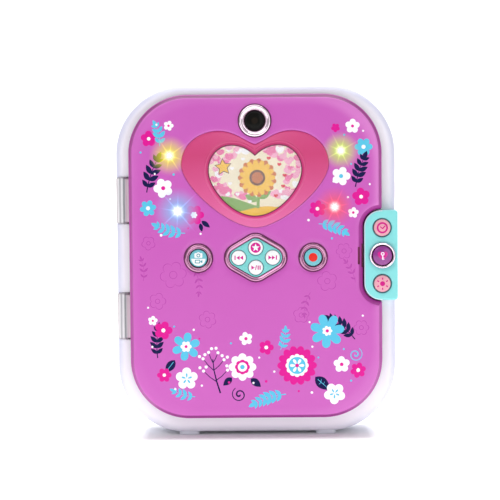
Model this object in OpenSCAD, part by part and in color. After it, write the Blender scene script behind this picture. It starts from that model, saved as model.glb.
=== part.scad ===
// Electronic diary with a lockable hinged cover.
// It stands upright on two feet: +X to the right, the front faces -Y, +Z up.
// The origin is the middle of the footprint, on the surface it stands on.

/* [Base] */
// Width of the base
base_w = 150.6; // [146:0.2:156]
// Height of the base without its feet
base_h = 187.4; // [184:0.2:192]
// Corner radius of the base outline
base_r = 36.5; // [30:0.5:40]
// Depth from the rim that the cover lies on to the back
base_d = 32; // [30:0.5:36]
// Rounding along the back edge
back_round = 8; // [4:0.5:9]
// Rounding along the front rim
rim_round = 4.5; // [3:0.5:5]
// Wall of the base shells
base_wall = 2.2; // [1.8:0.1:2.4]
// How far the feet lift the base
foot_h = 1.6; // [1:0.1:3]

/* [Cover] */
// Width of the cover
cover_w = 136.2; // [132:0.2:137]
// Height of the cover
cover_h = 174.4; // [170:0.2:176]
// Corner radius of the cover outline
cover_r = 32; // [26:0.5:34]
// Thickness of the cover
cover_t = 10.2; // [9:0.1:11]
// Wall of the cover shell
cover_wall = 2.2; // [1.6:0.1:2.6]
// Gap between the closed cover and the rim
cover_gap = 0.3; // [0.2:0.1:0.6]

/* [Hinge] */
// Diameter of a hinge barrel
barrel_d = 7.4; // [6:0.2:8]
// Length of a hinge barrel
barrel_l = 25; // [18:1:30]
// Diameter of a hinge pin
pin_d = 2.5; // [2:0.1:2.8]
// Clearance between pin and barrel on the radius
pin_play = 0.08; // [0.04:0.01:0.1]

/* [Screen] */
// Width of the display's picture area
screen_w = 52; // [49:0.5:54]
// Height of the display's picture area
screen_h = 40; // [37:0.5:42]

/* [Buttons] */
// Diameter of the round cover buttons
cap_d = 9.2; // [8:0.1:9.4]
// Diameter of the four pad buttons
pad_cap_d = 7.7; // [7:0.1:7.9]
// Travel of the cover buttons
cap_travel = 1.2; // [0.8:0.1:1.4]
// Diameter of the chrome rings round the buttons
ring_d = 15; // [13:0.5:16]
// Diameter of the lock button
lock_d = 10.4; // [9:0.1:10.6]

/* [Keyboard] */
// Keys in a row
key_cols = 10; // [8:1:10]
// Rows of keys
key_rows = 4; // [3:1:4]
// Spacing of the keys across
key_pitch_x = 11.3; // [10:0.1:11.4]
// Spacing of the rows
key_pitch_z = 11.5; // [10:0.1:11.5]

/* [Hidden] */
$fn = 48;

// Base: middle, rim plane, split plane and back plane
bx = -0.5;
bz = foot_h + base_h / 2;
y_rim = -10;
y_split = -1;
y_back = y_rim + base_d;
deck_front = -7.5;
deck_back = -5.5;

// Cover: middle, back plane, face plane
cx = -0.75;
cz = 97.3;
y_cb = y_rim - cover_gap;
y_cf = y_cb - cover_t;
y_ci = y_cf + cover_wall;
liner_t = 1.6;
y_lf = y_cb - liner_t;

// Hinge axis
hx = -72;
hy = -8;
hinge_z = [cz + 30.7, cz - 31.7];

// Places on the cover, from its middle
photo_at = [-30.5, -0.2];
record_at = [30.5, -0.2];
star_at = [0, 5.2];
play_at = [0, -5.4];
prev_at = [-9.05, -0.1];
next_at = [9.05, -0.1];
camera_at = [0, 72.5];
screen_at = [0, 40.85];
led_at = [[-45.4, 54.4], [-41.3, 24.9], [45.5, 56.3], [42.1, 26.5]];
cover_screw_at = [[-57, 40], [57, 40], [-57, -42], [57, -42], [-26, 80], [26, 80], [-26, -80], [26, -80]];
membrane_post_at = [[-20, 11], [20, 11], [-20, -12], [20, -12]];

// Lock panel: left, right, bottom, top, face
lp_l = 57.55;
lp_r = 75.8;
lp_b = 73.8;
lp_t = 121.9;
y_lp = -19.5;
lock_x = 66.65;
lock_z = cz + 0.4;
clock_z = cz + 15.2;
light_z = cz - 14.6;
bolt_z = 97.75;
arm_z = 105.2;

// Fastenings
case_screw_at = [[-40, 172], [39, 172], [-56, 112], [56, 120], [-40, 14], [39, 14]];
board_screw_at = [[-55, 79], [-50, 27], [48.5, 27], [53.5, 79]];

// Batteries
batt_d = 14.2;
batt_l = 49.2;
batt_y = 12.6;
batt_z = [30, 45.4];

// ---------- shared shapes ----------

// A flat shape drawn in x and z, extruded from y0 to y1
module yx(y0, y1) {
    translate([0, y1, 0]) rotate([90, 0, 0]) linear_extrude(y1 - y0) children();
}

// Round bar along y
module ybar(x, z, r, y0, y1) {
    translate([x, y1, z]) rotate([90, 0, 0]) cylinder(h = y1 - y0, r = r);
}

// Tube along y
module ytube(x, z, ro, ri, y0, y1) {
    difference() {
        ybar(x, z, ro, y0, y1);
        ybar(x, z, ri, y0 - 1, y1 + 1);
    }
}

module box(x0, x1, y0, y1, z0, z1) {
    translate([x0, y0, z0]) cube([x1 - x0, y1 - y0, z1 - z0]);
}

// Rectangle with round corners
module rrect(w, h, r) {
    square([w - 2 * r, h], center = true);
    square([w, h - 2 * r], center = true);
    for (sx = [-1, 1], sz = [-1, 1])
        translate([sx * (w / 2 - r), sz * (h / 2 - r)]) circle(r);
}

module base_outline(inset) {
    translate([bx, bz]) rrect(base_w - 2 * inset, base_h - 2 * inset, base_r - inset);
}

module cover_outline(inset) {
    translate([cx, cz]) rrect(cover_w - 2 * inset, cover_h - 2 * inset, cover_r - inset);
}

// Front half of the base, rounded along the rim
module base_front_solid() {
    hull() {
        yx(y_rim + rim_round, y_split) base_outline(0, $fn = 64);
        for (a = [22.5, 45, 67.5, 90])
            yx(y_rim + rim_round * (1 - sin(a)), y_rim + rim_round + 1)
                base_outline(rim_round * (1 - cos(a)), $fn = 64);
    }
}

// Rear half of the base, rounded along the back
module base_rear_solid(inset) {
    f = back_round - inset;
    hull() {
        yx(y_split, y_back - back_round) base_outline(inset, $fn = 64);
        for (a = [22.5, 45, 67.5, 90])
            yx(y_back - back_round - 1, y_back - back_round + f * sin(a))
                base_outline(inset + f * (1 - cos(a)), $fn = 64);
    }
}

// Point on a cubic curve
function cubic(p, t) = p[0] * pow(1 - t, 3) + 3 * p[1] * t * pow(1 - t, 2)
    + 3 * p[2] * t * t * (1 - t) + p[3] * pow(t, 3);

// Right half of a heart from its cleft to its tip: cleft height, lobe top, widest point,
// tip height, and how full each of the three curves is
function heart_half(cleft, top, wide, tip, k) = let (n = 10, curves = [
        [[0, cleft], [k[0], cleft + k[1]], [top[0] - k[2], top[1]], top],
        [top, [top[0] + 0.56 * (wide[0] - top[0]), top[1]], [wide[0], wide[1] + 0.56 * (top[1] - wide[1])], wide],
        [wide, [wide[0], wide[1] - k[3]], [k[4], tip], [0, tip]]])
    [for (c = [0:2], i = [(c == 0 ? 0 : 1):(c == 2 ? 2 * n : n)]) cubic(curves[c], i / (c == 2 ? 2 * n : n))];

module heart(half) {
    last = len(half) - 1;
    translate([cx, cz])
        polygon(concat(half, [for (i = [last - 1:-1:1]) [-half[i][0], half[i][1]]]));
}

// The opening that the screen shows through
module window_heart() { heart(heart_half(53.8, [12.6, 59.4], [24.6, 46.3], 22.2, [2.5, 2.4, 6, 9.3, 12.5])); }

// The larger sunken heart round it
module frame_heart() { heart(heart_half(58.8, [19.4, 67.3], [39.3, 49.6], 15.8, [4, 3.6, 9, 12, 14])); }

// Rounded diamond round the four pad buttons, at distance r from their centres
module pad_outline(r) {
    a = 9.05;
    b = 5.3;
    f = atan2(a, b);
    n = 12;
    function arc(px, pz, a0, a1) = [for (i = [0:n]) let (t = a0 + (a1 - a0) * i / n)
        [px + r * cos(t), pz + r * sin(t)]];
    translate([cx, cz - 0.1])
        polygon(concat(arc(a, 0, -f, f), arc(0, b, f, 180 - f),
            arc(-a, 0, 180 - f, 180 + f), arc(0, -b, 180 + f, 360 - f)));
}

// Space that the lock panel takes out of the cover, grown by g
module panel_cut(g) {
    translate([lp_l - 0.35 - g + 30, (lp_b + lp_t) / 2]) rrect(60, lp_t - lp_b + 0.7 + 2 * g, 9.35 + g);
}

module lock_panel_outline(inset) {
    l = lp_l + inset;
    r = lp_r - inset;
    b = lp_b + inset;
    t = lp_t - inset;
    q = 9 - inset;
    p = 1.8 - inset / 2;
    translate([l + q, b]) square([r - l - q - p, t - b]);
    translate([l, b + q]) square([r - l, t - b - 2 * q]);
    translate([r - p - 1, b + p]) square([p + 1, t - b - 2 * p]);
    for (z = [b + q, t - q]) translate([l + q, z]) circle(q);
    for (z = [b + p, t - p]) translate([r - p, z]) circle(p);
}

// Round bar along y from y_edge to y_end whose -y end bulges out by rise
module dome(x, z, r, y_edge, rise, y_end) {
    big = (r * r + rise * rise) / (2 * rise);
    intersection() {
        ybar(x, z, r, y_edge - rise - 1, y_end);
        translate([x, y_edge - rise + big, z]) sphere(big, $fn = 240);
    }
}

// Cover button: cap, flange behind the face, stem through the liner
module cover_cap(at, d, y_top, stem_d) {
    x = cx + at[0];
    z = cz + at[1];
    dome(x, z, d / 2, y_top + 0.4, 0.4, y_ci + 0.4);
    ybar(x, z, d / 2 + (d > 8.5 ? 1.1 : 0.6), y_ci + 0.3, y_ci + 1.3);
    ybar(x, z, stem_d / 2, y_ci + 1.2, y_cb - 0.2);
}

// Button of the lock panel
module panel_cap(z, d, y_top, rise, stem_d) {
    dome(lock_x, z, d / 2, y_top + rise, rise, y_lp + 2.2);
    ybar(lock_x, z, d / 2 + 0.8, y_lp + 2.1, y_lp + 3.1);
    ybar(lock_x, z, stem_d / 2, y_lp + 3, -10.3);
}

// Chrome ring on the cover face with a neck through it
module cover_ring(at, od, id, neck, y_top) {
    x = cx + at[0];
    z = cz + at[1];
    difference() {
        union() {
            ybar(x, z, od / 2 - 0.5, y_top, y_cf);
            ybar(x, z, od / 2, y_top + 0.4, y_cf);
            ybar(x, z, neck / 2, y_cf - 0.1, y_ci);
        }
        ybar(x, z, id / 2, y_top - 1, y_ci + 1);
    }
}

// Pan-head screw along y, head towards the back
module rear_screw(x, z, d, y0, y1, head_d, head_h) {
    ybar(x, z, d / 2, y0, y1 + 0.1);
    difference() {
        ybar(x, z, head_d / 2, y1, y1 + head_h);
        box(x - head_d * 0.3, x + head_d * 0.3, y1 + head_h - 0.6, y1 + head_h + 1, z - 0.3, z + 0.3);
        box(x - 0.3, x + 0.3, y1 + head_h - 0.6, y1 + head_h + 1, z - head_d * 0.3, z + head_d * 0.3);
    }
}

module foot_blocks() {
    for (s = [-1, 1]) box(bx + s * 37.25 - 5.5, bx + s * 37.25 + 5.5, -7, 15, 0, foot_h + 1.1);
}

module door_outline(grow) {
    translate([0, 37.75]) rrect(112 + 2 * grow, 33.5 + 2 * grow, 3 + grow);
    translate([0, 57.2]) circle(5 + grow);
    translate([-5 - grow, 50]) square([10 + 2 * grow, 7.2]);
}

// ---------- base ----------

module rear_case() {
    color([0.9, 0.91, 0.97])
    difference() {
        union() {
            difference() {
                base_rear_solid(0);
                base_rear_solid(base_wall);
            }
            // battery bay
            difference() {
                box(-56.6, 56.6, 3.4, y_back - base_wall + 0.2, 20.4, 55.1);
                box(-55, 55, 5, y_back, 22, 53.5);
            }
            box(-0.6, 0.6, 4.9, 18.5, 21.9, 53.6);
            // screw pillars
            for (p = case_screw_at) ybar(p[0], p[1], 3.8, 6, y_back - base_wall + 0.2);
            ybar(0, 57.2, 3.4, 8, y_back - base_wall + 0.2);
            // speaker seat
            ytube(0, 118, 20.6, 19, y_back - base_wall - 4, y_back - base_wall + 0.2);
            // seat of the side board
            box(62, 66, 0, 10, 126, 127.4);
            box(62, 74, 8.4, 10, 126, 154);
        }
        // door recess
        yx(y_back - base_wall, y_back + 1) door_outline(0.3);
        ybar(0, 57.2, 1.25, 9.5, y_back);
        // screw holes with deep counterbores
        for (p = case_screw_at) {
            ybar(p[0], p[1], 1.5, 5, y_back);
            ybar(p[0], p[1], 2.9, 10, y_back + 1);
        }
        // speaker grille
        for (i = [-3:3]) {
            h = 28 - 3.2 * abs(i);
            box(i * 4.4 - 0.9, i * 4.4 + 0.9, y_back - base_wall - 1, y_back + 1, 118 - h / 2, 118 + h / 2);
        }
        // slots for the two side buttons
        box(72, 75, 2.2, 7.8, 141, 152.9);
        box(72, 75, 2.2, 7.8, 126.9, 137.8);
        foot_blocks();
    }
}

module deck_pocket() {
    difference() {
        translate([cx, cz]) rrect(126, 164, 27);
        translate([57, 73.3]) square([40, 49.1]);
    }
}

module key_grid(w, h) {
    for (i = [0:key_cols - 1], j = [0:key_rows - 1])
        translate([cx + (i - (key_cols - 1) / 2) * key_pitch_x, cz - 27 - j * key_pitch_z])
            square([w, h], center = true);
}

module front_deck() {
    color([0.93, 0.94, 0.99])
    difference() {
        union() {
            difference() {
                base_front_solid();
                // hollow behind the deck
                yx(deck_back, y_split + 1) base_outline(base_wall + 0.2);
                // sunken deck
                yx(y_rim - 1, deck_front) deck_pocket();
            }
            // blocks behind the hinge recesses
            for (z = hinge_z) box(-73.5, -66, deck_back - 0.1, y_split, z - 18, z + 18);
            for (p = case_screw_at) ybar(p[0], p[1], 3.4, deck_back - 0.1, 5.9);
            for (p = board_screw_at) ybar(p[0], p[1], 2.2, deck_back - 0.1, -4.3);
        }
        // hinge recesses and pin bores
        for (z = hinge_z) {
            box(-78, -67.9, -12, -3.9, z - barrel_l / 2 - 0.3, z + barrel_l / 2 + 0.3);
            translate([hx, hy, z - barrel_l / 2 - 5]) cylinder(h = barrel_l + 10, d = pin_d);
        }
        for (p = case_screw_at) ybar(p[0], p[1], 1.15, -4.6, 7);
        for (p = board_screw_at) ybar(p[0], p[1], 0.8, -5.2, -4);
        // screen seat and opening
        yx(deck_front - 1, deck_front + 1.2) translate([cx + screen_at[0], cz + screen_at[1]]) rrect(60, 48, 2);
        yx(deck_front - 1, deck_back + 1) translate([cx + screen_at[0], cz + screen_at[1]]) square([screen_w + 1, screen_h + 1], center = true);
        // keyboard, button domes, camera, lights, microphone
        yx(deck_front - 1, deck_back + 1) key_grid(9.4, 8.6);
        for (p = [photo_at, record_at, star_at, play_at, prev_at, next_at])
            ybar(cx + p[0], cz + p[1], 3.6, deck_front - 1, deck_back + 1);
        ybar(cx + camera_at[0], cz + camera_at[1], 4.3, deck_front - 1, deck_back + 1);
        for (p = led_at) ybar(cx + p[0], cz + p[1], 1.8, deck_front - 1, deck_back + 1);
        ybar(-24, cz + 71, 0.8, deck_front - 1, deck_back + 1);
        // shaft below the lock panel
        box(59.6, 72.6, y_rim - 1, -6, 75.8, 119.9);
        box(61, 72.6, -6.5, deck_back + 0.5, 77.2, 118.5);
        foot_blocks();
    }
}

module rubber_feet() {
    color([0.85, 0.86, 0.9]) foot_blocks();
}

module case_screws() {
    color("silver") for (p = case_screw_at) rear_screw(p[0], p[1], 2.3, -4, 10, 4.6, 1.8);
}

module main_board() {
    color([0.1, 0.45, 0.25])
    difference() {
        union() {
            yx(-4.3, -2.7) {
                translate([-58.5, 24]) square([115.5, 58]);
                translate([-47, 81]) square([93, 29]);
            }
            // processor, memory, amplifier and two connectors
            box(-14, 14, -2.75, -1.2, 60, 74);
            box(22, 34, -2.75, -1.5, 62, 72);
            box(-34, -27, -2.75, -1.4, 62, 68);
            box(-12, 12, -2.75, -1.1, 104, 108);
            box(36, 44, -2.75, 0.6, 88, 94);
        }
        for (p = board_screw_at) ybar(p[0], p[1], 1, -6, 0);
    }
}

module board_screws() {
    color("silver") for (p = board_screw_at) rear_screw(p[0], p[1], 1.6, -5, -2.7, 3.4, 1.2);
}

module lcd_module() {
    color([0.15, 0.15, 0.18])
    yx(deck_back, -1.9) translate([cx + screen_at[0], cz + screen_at[1]]) square([60, 48], center = true);
}

module lcd_flex() {
    color([0.75, 0.45, 0.15])
    translate([-8, 0, 0]) rotate([90, 0, 90]) linear_extrude(16)
        polygon([[-1.9, 122], [-1.6, 122], [-1.6, 113.6], [-0.8, 108.2], [-0.8, 105], [-1.1, 105],
            [-1.1, 108.2], [-1.9, 113.6]]);
}

module screen_lens() {
    color([0.2, 0.2, 0.3])
    yx(deck_front, deck_front + 1.2) translate([cx + screen_at[0], cz + screen_at[1]]) rrect(60, 48, 2);
}

module keypad() {
    color([0.95, 0.55, 0.75]) {
        yx(deck_back, -4.3) translate([-57.5, cz - 67]) square([113.5, 45.5]);
        yx(-8.9, deck_back + 0.1) key_grid(8.8, 8);
    }
}

module button_pad() {
    color([0.85, 0.85, 0.9]) {
        yx(deck_back, -4.3) translate([cx, cz - 0.1]) rrect(76, 20, 3);
        for (p = [photo_at, record_at, star_at, play_at, prev_at, next_at]) {
            ybar(cx + p[0], cz + p[1], 3.2, -8.2, deck_back + 0.1);
            ybar(cx + p[0], cz + p[1], 2.4, -8.9, -8.1);
        }
    }
}

module camera_module() {
    color([0.1, 0.1, 0.12]) {
        x = cx + camera_at[0];
        z = cz + camera_at[1];
        box(x - 7, x + 7, deck_back, 0.5, z - 7, z + 7);
        ybar(x, z, 4, -8.6, deck_back + 0.1);
        ytube(x, z, 4, 2.6, -9.4, -8.5);
    }
}

module led_strips() {
    color([0.1, 0.45, 0.25]) {
        for (x = [-43.2, 43.8]) box(cx + x - 4, cx + x + 4, deck_back + 0.2, -4.2, cz + 19, cz + 62);
        for (p = led_at) {
            ybar(cx + p[0], cz + p[1], 1.5, -7.9, deck_back + 0.3);
            translate([cx + p[0], -7.9, cz + p[1]]) sphere(1.5);
        }
    }
}

module microphone() {
    color([0.3, 0.3, 0.32]) {
        ybar(-24, cz + 71, 3, deck_back, -3);
        ybar(-24, cz + 71, 3.6, -3.1, -2);
    }
}

module speaker() {
    color([0.2, 0.2, 0.22]) {
        ybar(0, 118, 18.8, y_back - base_wall - 2.4, y_back - base_wall);
        ybar(0, 118, 13, y_back - base_wall - 5.5, y_back - base_wall - 2.3);
        ybar(0, 118, 8.5, y_back - base_wall - 9, y_back - base_wall - 5.4);
    }
}

module batteries() {
    color([0.2, 0.2, 0.25])
    for (sx = [-1, 1], z = batt_z) {
        translate([sx * 27.2 - (batt_l - 1) / 2, batt_y, z]) rotate([0, 90, 0]) cylinder(h = batt_l - 1, d = batt_d);
        translate([sx * (27.2 + batt_l / 2 - 0.6) - 0.5, batt_y, z]) rotate([0, 90, 0]) cylinder(h = 1, d = 5.4);
    }
}

module contact_coil(x, y, z, s) {
    for (i = [0:2]) translate([x + s * (0.35 + 0.6 * i), y, z]) rotate([0, 90, 0])
        rotate_extrude() translate([3.4 - 0.6 * i, 0]) circle(0.35, $fn = 16);
}

module battery_contacts() {
    color("silver")
    for (z = batt_z) {
        // outer plates against the bay ends
        for (s = [-1, 1]) {
            box(s * 54.8 - 0.2, s * 54.8 + 0.2, 6.5, 18.6, z - 5.5, z + 5.5);
            box(s * 0.8 - 0.2, s * 0.8 + 0.2, 6.5, 18.4, z - 5.5, z + 5.5);
            contact_coil(s * 1, batt_y, z, s);
        }
    }
}

module lock_panel() {
    color([0.55, 0.9, 0.9])
    difference() {
        yx(y_lp, 6) lock_panel_outline(0);
        base_front_solid();
        base_rear_solid(0);
        // hollow with a thinner right wall
        yx(y_lp + 1.8, y_rim) intersection() {
            lock_panel_outline(1.8);
            translate([lp_l, lp_b]) square([lp_r - lp_l - 1.8, lp_t - lp_b]);
        }
        // way into the base
        box(59.6, 72.6, -11, -5, 75.8, 119.9);
        ybar(lock_x, clock_z, 5.1, y_lp - 1, y_lp + 2);
        ybar(lock_x, light_z, 5.1, y_lp - 1, y_lp + 2);
        ybar(lock_x, lock_z, 6.1, y_lp - 1, y_lp + 2);
        box(lp_l - 1, lp_l + 2.5, -14.9, -12.3, bolt_z - 5.95, bolt_z + 5.95);
    }
}

module lock_ring() {
    color("silver")
    difference() {
        union() {
            ybar(lock_x, lock_z, 6.5, y_lp - 1.7, y_lp);
            ybar(lock_x, lock_z, 6.9, y_lp - 1.2, y_lp);
            ybar(lock_x, lock_z, 6.1, y_lp - 0.1, y_lp + 1.8);
        }
        ybar(lock_x, lock_z, 5.5, y_lp - 3, y_lp + 3);
    }
}

module lock_board() {
    color([0.1, 0.45, 0.25]) {
        difference() {
            box(60, 72.3, -7.2, -6, 76.2, 119.5);
            box(64.2, 73, -8, -5, arm_z - 2.8, arm_z + 2.8);
        }
        for (z = [clock_z, lock_z, light_z]) {
            box(lock_x - 3, lock_x + 3, -8.4, -7.15, z - 3, z + 3);
            ybar(lock_x, z, 1.6, -9, -8.3);
        }
    }
}

module lock_solenoid() {
    color([0.7, 0.45, 0.2])
    difference() {
        union() {
            box(53, 64.6, deck_back, 5.5, arm_z - 5.5, arm_z + 5.5);
        }
        translate([52, 0, arm_z]) rotate([0, 90, 0]) cylinder(h = 14, d = 4.16);
    }
}

module hinge_pins() {
    color("silver") for (z = hinge_z)
        translate([hx, hy, z - barrel_l / 2 - 5]) cylinder(h = barrel_l + 10, d = pin_d);
}

module side_board() {
    color([0.1, 0.45, 0.25]) {
        box(66, 67.2, 0, 8.4, 126.2, 153.6);
        for (z = [146.95, 132.35]) {
            box(67.1, 69, 2, 8, z - 3, z + 3);
            translate([68.9, 5, z]) rotate([0, 90, 0]) cylinder(h = 0.9, r = 1.6);
        }
    }
}

module side_cap(z0, z1) {
    box(72.1, lp_r, 2.5, 7.5, z0, z1);
    box(71, 72.3, 1.7, 8.3, z0 - 0.9, z1 + 0.9);
}

module volume_up_button() { color([0.93, 0.8, 0.86]) side_cap(141.3, 152.6); }
module volume_down_button() { color([0.93, 0.8, 0.86]) side_cap(127.2, 137.5); }

module battery_door() {
    color([0.88, 0.89, 0.96])
    difference() {
        union() {
            yx(y_back - 1.9, y_back) door_outline(0);
            for (x = [-40, 40]) box(x - 5, x + 5, y_back - 3.6, y_back - 1.8, 22.4, 23.6);
        }
        ybar(0, 57.2, 1.2, y_back - 3, y_back + 1);
        ybar(0, 57.2, 2.4, y_back - 0.9, y_back + 1);
    }
}

module door_screw() {
    color("silver") difference() {
        union() {
            ybar(0, 57.2, 1.2, 12, y_back - 0.85);
            ybar(0, 57.2, 2.3, y_back - 0.9, y_back - 0.1);
        }
        box(-1.5, 1.5, y_back - 0.5, y_back + 1, 56.95, 57.45);
        box(-0.25, 0.25, y_back - 0.5, y_back + 1, 55.7, 58.7);
    }
}

module lock_button() { color([0.55, 0.2, 0.6]) panel_cap(lock_z, lock_d, -22, 1.2, 4); }
module clock_button() { color([0.96, 0.7, 0.76]) panel_cap(clock_z, 9.6, -20.7, 0.5, 3.5); }
module light_button() { color([0.96, 0.7, 0.76]) panel_cap(light_z, 9.6, -20.7, 0.5, 3.5); }

module latch_bolt() {
    color("silver") {
        box(58, 64, -14.6, -12.6, bolt_z - 5.65, bolt_z + 5.65);
        box(63.9, 72, -14.6, -12.6, bolt_z + 3.4, bolt_z + 5.65);
        box(65, 72, -14.6, -12.6, bolt_z + 5.6, arm_z + 2.3);
        box(70.3, 72, -12.7, 2.2, arm_z - 2.3, arm_z + 2.3);
        translate([59, 0, arm_z]) rotate([0, 90, 0]) cylinder(h = 11.4, d = 4);
    }
}

// ---------- cover ----------

// Outer body of the cover: straight edge, sloping band, soft face edge
module cover_solid() {
    hull() {
        yx(y_cf + 3, y_cb) cover_outline(0, $fn = 64);
        for (p = [[1.1, 0.9], [0.25, 1.9], [0, 2.6]])
            yx(y_cf + p[0], y_cf + 4) cover_outline(p[1], $fn = 64);
    }
}

module cover_shell() {
    color([0.82, 0.42, 0.76])
    difference() {
        union() {
            difference() {
                cover_solid();
                yx(y_ci, y_cb + 1) difference() {
                    cover_outline(cover_wall);
                    panel_cut(cover_wall);
                }
            }
            for (p = cover_screw_at) ybar(cx + p[0], cz + p[1], 3, y_ci - 0.1, y_lf);
            for (p = membrane_post_at) ybar(cx + p[0], cz + p[1], 1.8, y_ci - 0.1, -14.2);
        }
        yx(y_cf - 1, y_cb + 1) panel_cut(0);
        // strike hole for the bolt
        box(52, 58, -15.1, -12.1, bolt_z - 6.25, bolt_z + 6.25);
        // notch over it in the edge band, and a finger slot beside the notch
        box(55.85, 58, y_cf - 1, -14, bolt_z - 6.25, bolt_z + 6.25);
        box(54.2, 55.3, y_cf - 1, y_cf + 0.9, bolt_z - 4.8, bolt_z + 4.8);
        // sunken heart and its opening
        yx(y_cf - 1, y_cf + 1.2) frame_heart();
        yx(y_cf - 1, y_ci + 1) window_heart();
        // rings, buttons and lights
        ybar(cx + camera_at[0], cz + camera_at[1], 6.5, y_cf - 1, y_ci + 1);
        for (p = [photo_at, record_at]) ybar(cx + p[0], cz + p[1], 6, y_cf - 1, y_ci + 1);
        for (p = [star_at, play_at, prev_at, next_at]) ybar(cx + p[0], cz + p[1], pad_cap_d / 2 + 0.3, y_cf - 1, y_ci + 1);
        for (p = led_at) ybar(cx + p[0], cz + p[1], 1.6, y_cf - 1, y_ci + 1);
        for (p = cover_screw_at) ybar(cx + p[0], cz + p[1], 0.9, y_ci + 0.6, y_cb);
        // slots for the hinge leaves
        for (z = hinge_z) box(-71, -66, -12.4, y_cb + 1, z - 11.5, z + 11.5);
    }
}

module cover_liner() {
    color([0.9, 0.6, 0.84])
    difference() {
        union() {
            yx(y_lf, y_cb) difference() {
                cover_outline(cover_wall);
                panel_cut(cover_wall);
            }
            // light shaft from the screen to the heart window
            yx(y_ci + 1.5, y_lf + 0.1) translate([cx + screen_at[0], cz + screen_at[1]]) rrect(62, 50, 4);
            for (p = membrane_post_at) ybar(cx + p[0], cz + p[1], 1.8, -13.4, y_lf + 0.1);
        }
        yx(y_ci, y_cb + 1) translate([cx + screen_at[0], cz + screen_at[1]]) rrect(58, 46, 2);
        ybar(cx + camera_at[0], cz + camera_at[1], 5, y_lf - 1, y_cb + 1);
        for (p = [photo_at, record_at]) ybar(cx + p[0], cz + p[1], 2.4, y_lf - 1, y_cb + 1);
        for (p = [star_at, play_at, prev_at, next_at]) ybar(cx + p[0], cz + p[1], 2, y_lf - 1, y_cb + 1);
        for (p = led_at) ybar(cx + p[0], cz + p[1], 1.7, y_lf - 1, y_cb + 1);
        for (p = cover_screw_at) {
            ybar(cx + p[0], cz + p[1], 1, y_lf - 1, y_cb + 1);
            ybar(cx + p[0], cz + p[1], 1.9, y_cb - 0.8, y_cb + 1);
        }
        for (z = hinge_z) box(-71, -64.4, y_lf - 1, y_cb + 1, z - 11.6, z + 11.6);
    }
}

module heart_bezel() {
    color([0.85, 0.3, 0.55])
    yx(y_cf + 0.4, y_cf + 1.2) difference() {
        frame_heart();
        window_heart();
    }
}

module heart_window() {
    color([0.85, 0.9, 1, 0.3])
    yx(y_ci, y_ci + 1.5) translate([cx + screen_at[0], cz + screen_at[1]]) rrect(56, 44, 5);
}

module camera_ring() { color("silver") cover_ring(camera_at, 17.4, 11, 13, y_cf - 0.9); }

module camera_window() {
    color([0.05, 0.05, 0.06]) {
        x = cx + camera_at[0];
        z = cz + camera_at[1];
        dome(x, z, 5.45, y_cf, 0.4, y_cf + 1.6);
    }
}

module photo_ring() { color("silver") cover_ring(photo_at, ring_d, cap_d + 0.6, 12, y_cf - 0.9); }
module record_ring() { color("silver") cover_ring(record_at, ring_d, cap_d + 0.6, 12, y_cf - 0.9); }

module pad_bezel() {
    color("silver") {
        yx(y_cf - 0.9, y_cf) difference() {
            pad_outline(7.1);
            pad_outline(5);
        }
        yx(y_cf - 0.5, y_cf) difference() {
            pad_outline(7.6);
            pad_outline(5);
        }
    }
}

module pad_plate() {
    color([0.55, 0.9, 0.9])
    difference() {
        yx(y_cf - 0.6, y_cf) pad_outline(4.98);
        for (p = [star_at, play_at, prev_at, next_at]) ybar(cx + p[0], cz + p[1], pad_cap_d / 2 + 0.3, y_cf - 2, y_cf + 1);
    }
}

module button_membrane() {
    color([0.85, 0.85, 0.9])
    difference() {
        yx(-14.2, -13.4) translate([cx, cz - 0.3]) rrect(78, 29, 4);
        for (p = [photo_at, record_at]) ybar(cx + p[0], cz + p[1], 2.4, -16, -12);
        for (p = [star_at, play_at, prev_at, next_at]) ybar(cx + p[0], cz + p[1], 2, -16, -12);
    }
}

module led_lenses() {
    color([0.95, 0.95, 1, 0.5])
    for (p = led_at) {
        x = cx + p[0];
        z = cz + p[1];
        dome(x, z, 1.6, y_cf, 0.5, y_cf + 1);
        ybar(x, z, 1.6, y_cf + 0.9, y_cb - 0.2);
    }
}

module hinge_leaves() {
    color([0.9, 0.9, 0.95, 0.6])
    for (z = hinge_z) difference() {
        union() {
            translate([hx, hy, z - barrel_l / 2]) cylinder(h = barrel_l, d = barrel_d);
            box(-71.2, -64.5, -12.4, -10.6, z - 11.5, z + 11.5);
            box(-71.2, -69.1, -12.4, -9, z - 11.5, z + 11.5);
        }
        translate([hx, hy, z - barrel_l / 2 - 1]) cylinder(h = barrel_l + 2, d = pin_d + 2 * pin_play);
    }
}

module latch_strike() {
    color("silver")
    difference() {
        box(lp_l - 0.35 - cover_wall - 1, lp_l - 0.35 - cover_wall, y_ci, y_lf, bolt_z - 10, bolt_z + 10);
        box(52, 56, -15.1, -12.1, bolt_z - 6.25, bolt_z + 6.25);
    }
}

module cover_screws() {
    color("silver") for (p = cover_screw_at)
        rear_screw(cx + p[0], cz + p[1], 1.8, y_ci + 1, y_cb - 0.8, 3.6, 0.7);
}

module photo_button() { color([0.6, 0.9, 0.9]) cover_cap(photo_at, cap_d, y_cf - 0.7, 4); }
module record_button() { color([0.6, 0.9, 0.9]) cover_cap(record_at, cap_d, y_cf - 0.7, 4); }
module play_button() { color([0.97, 0.97, 0.98]) cover_cap(play_at, pad_cap_d, y_cf - 1.2, 3.2); }
module star_button() { color([0.97, 0.97, 0.98]) cover_cap(star_at, pad_cap_d, y_cf - 1.2, 3.2); }
module previous_button() { color([0.97, 0.97, 0.98]) cover_cap(prev_at, pad_cap_d, y_cf - 1.2, 3.2); }
module next_button() { color([0.97, 0.97, 0.98]) cover_cap(next_at, pad_cap_d, y_cf - 1.2, 3.2); }

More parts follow.
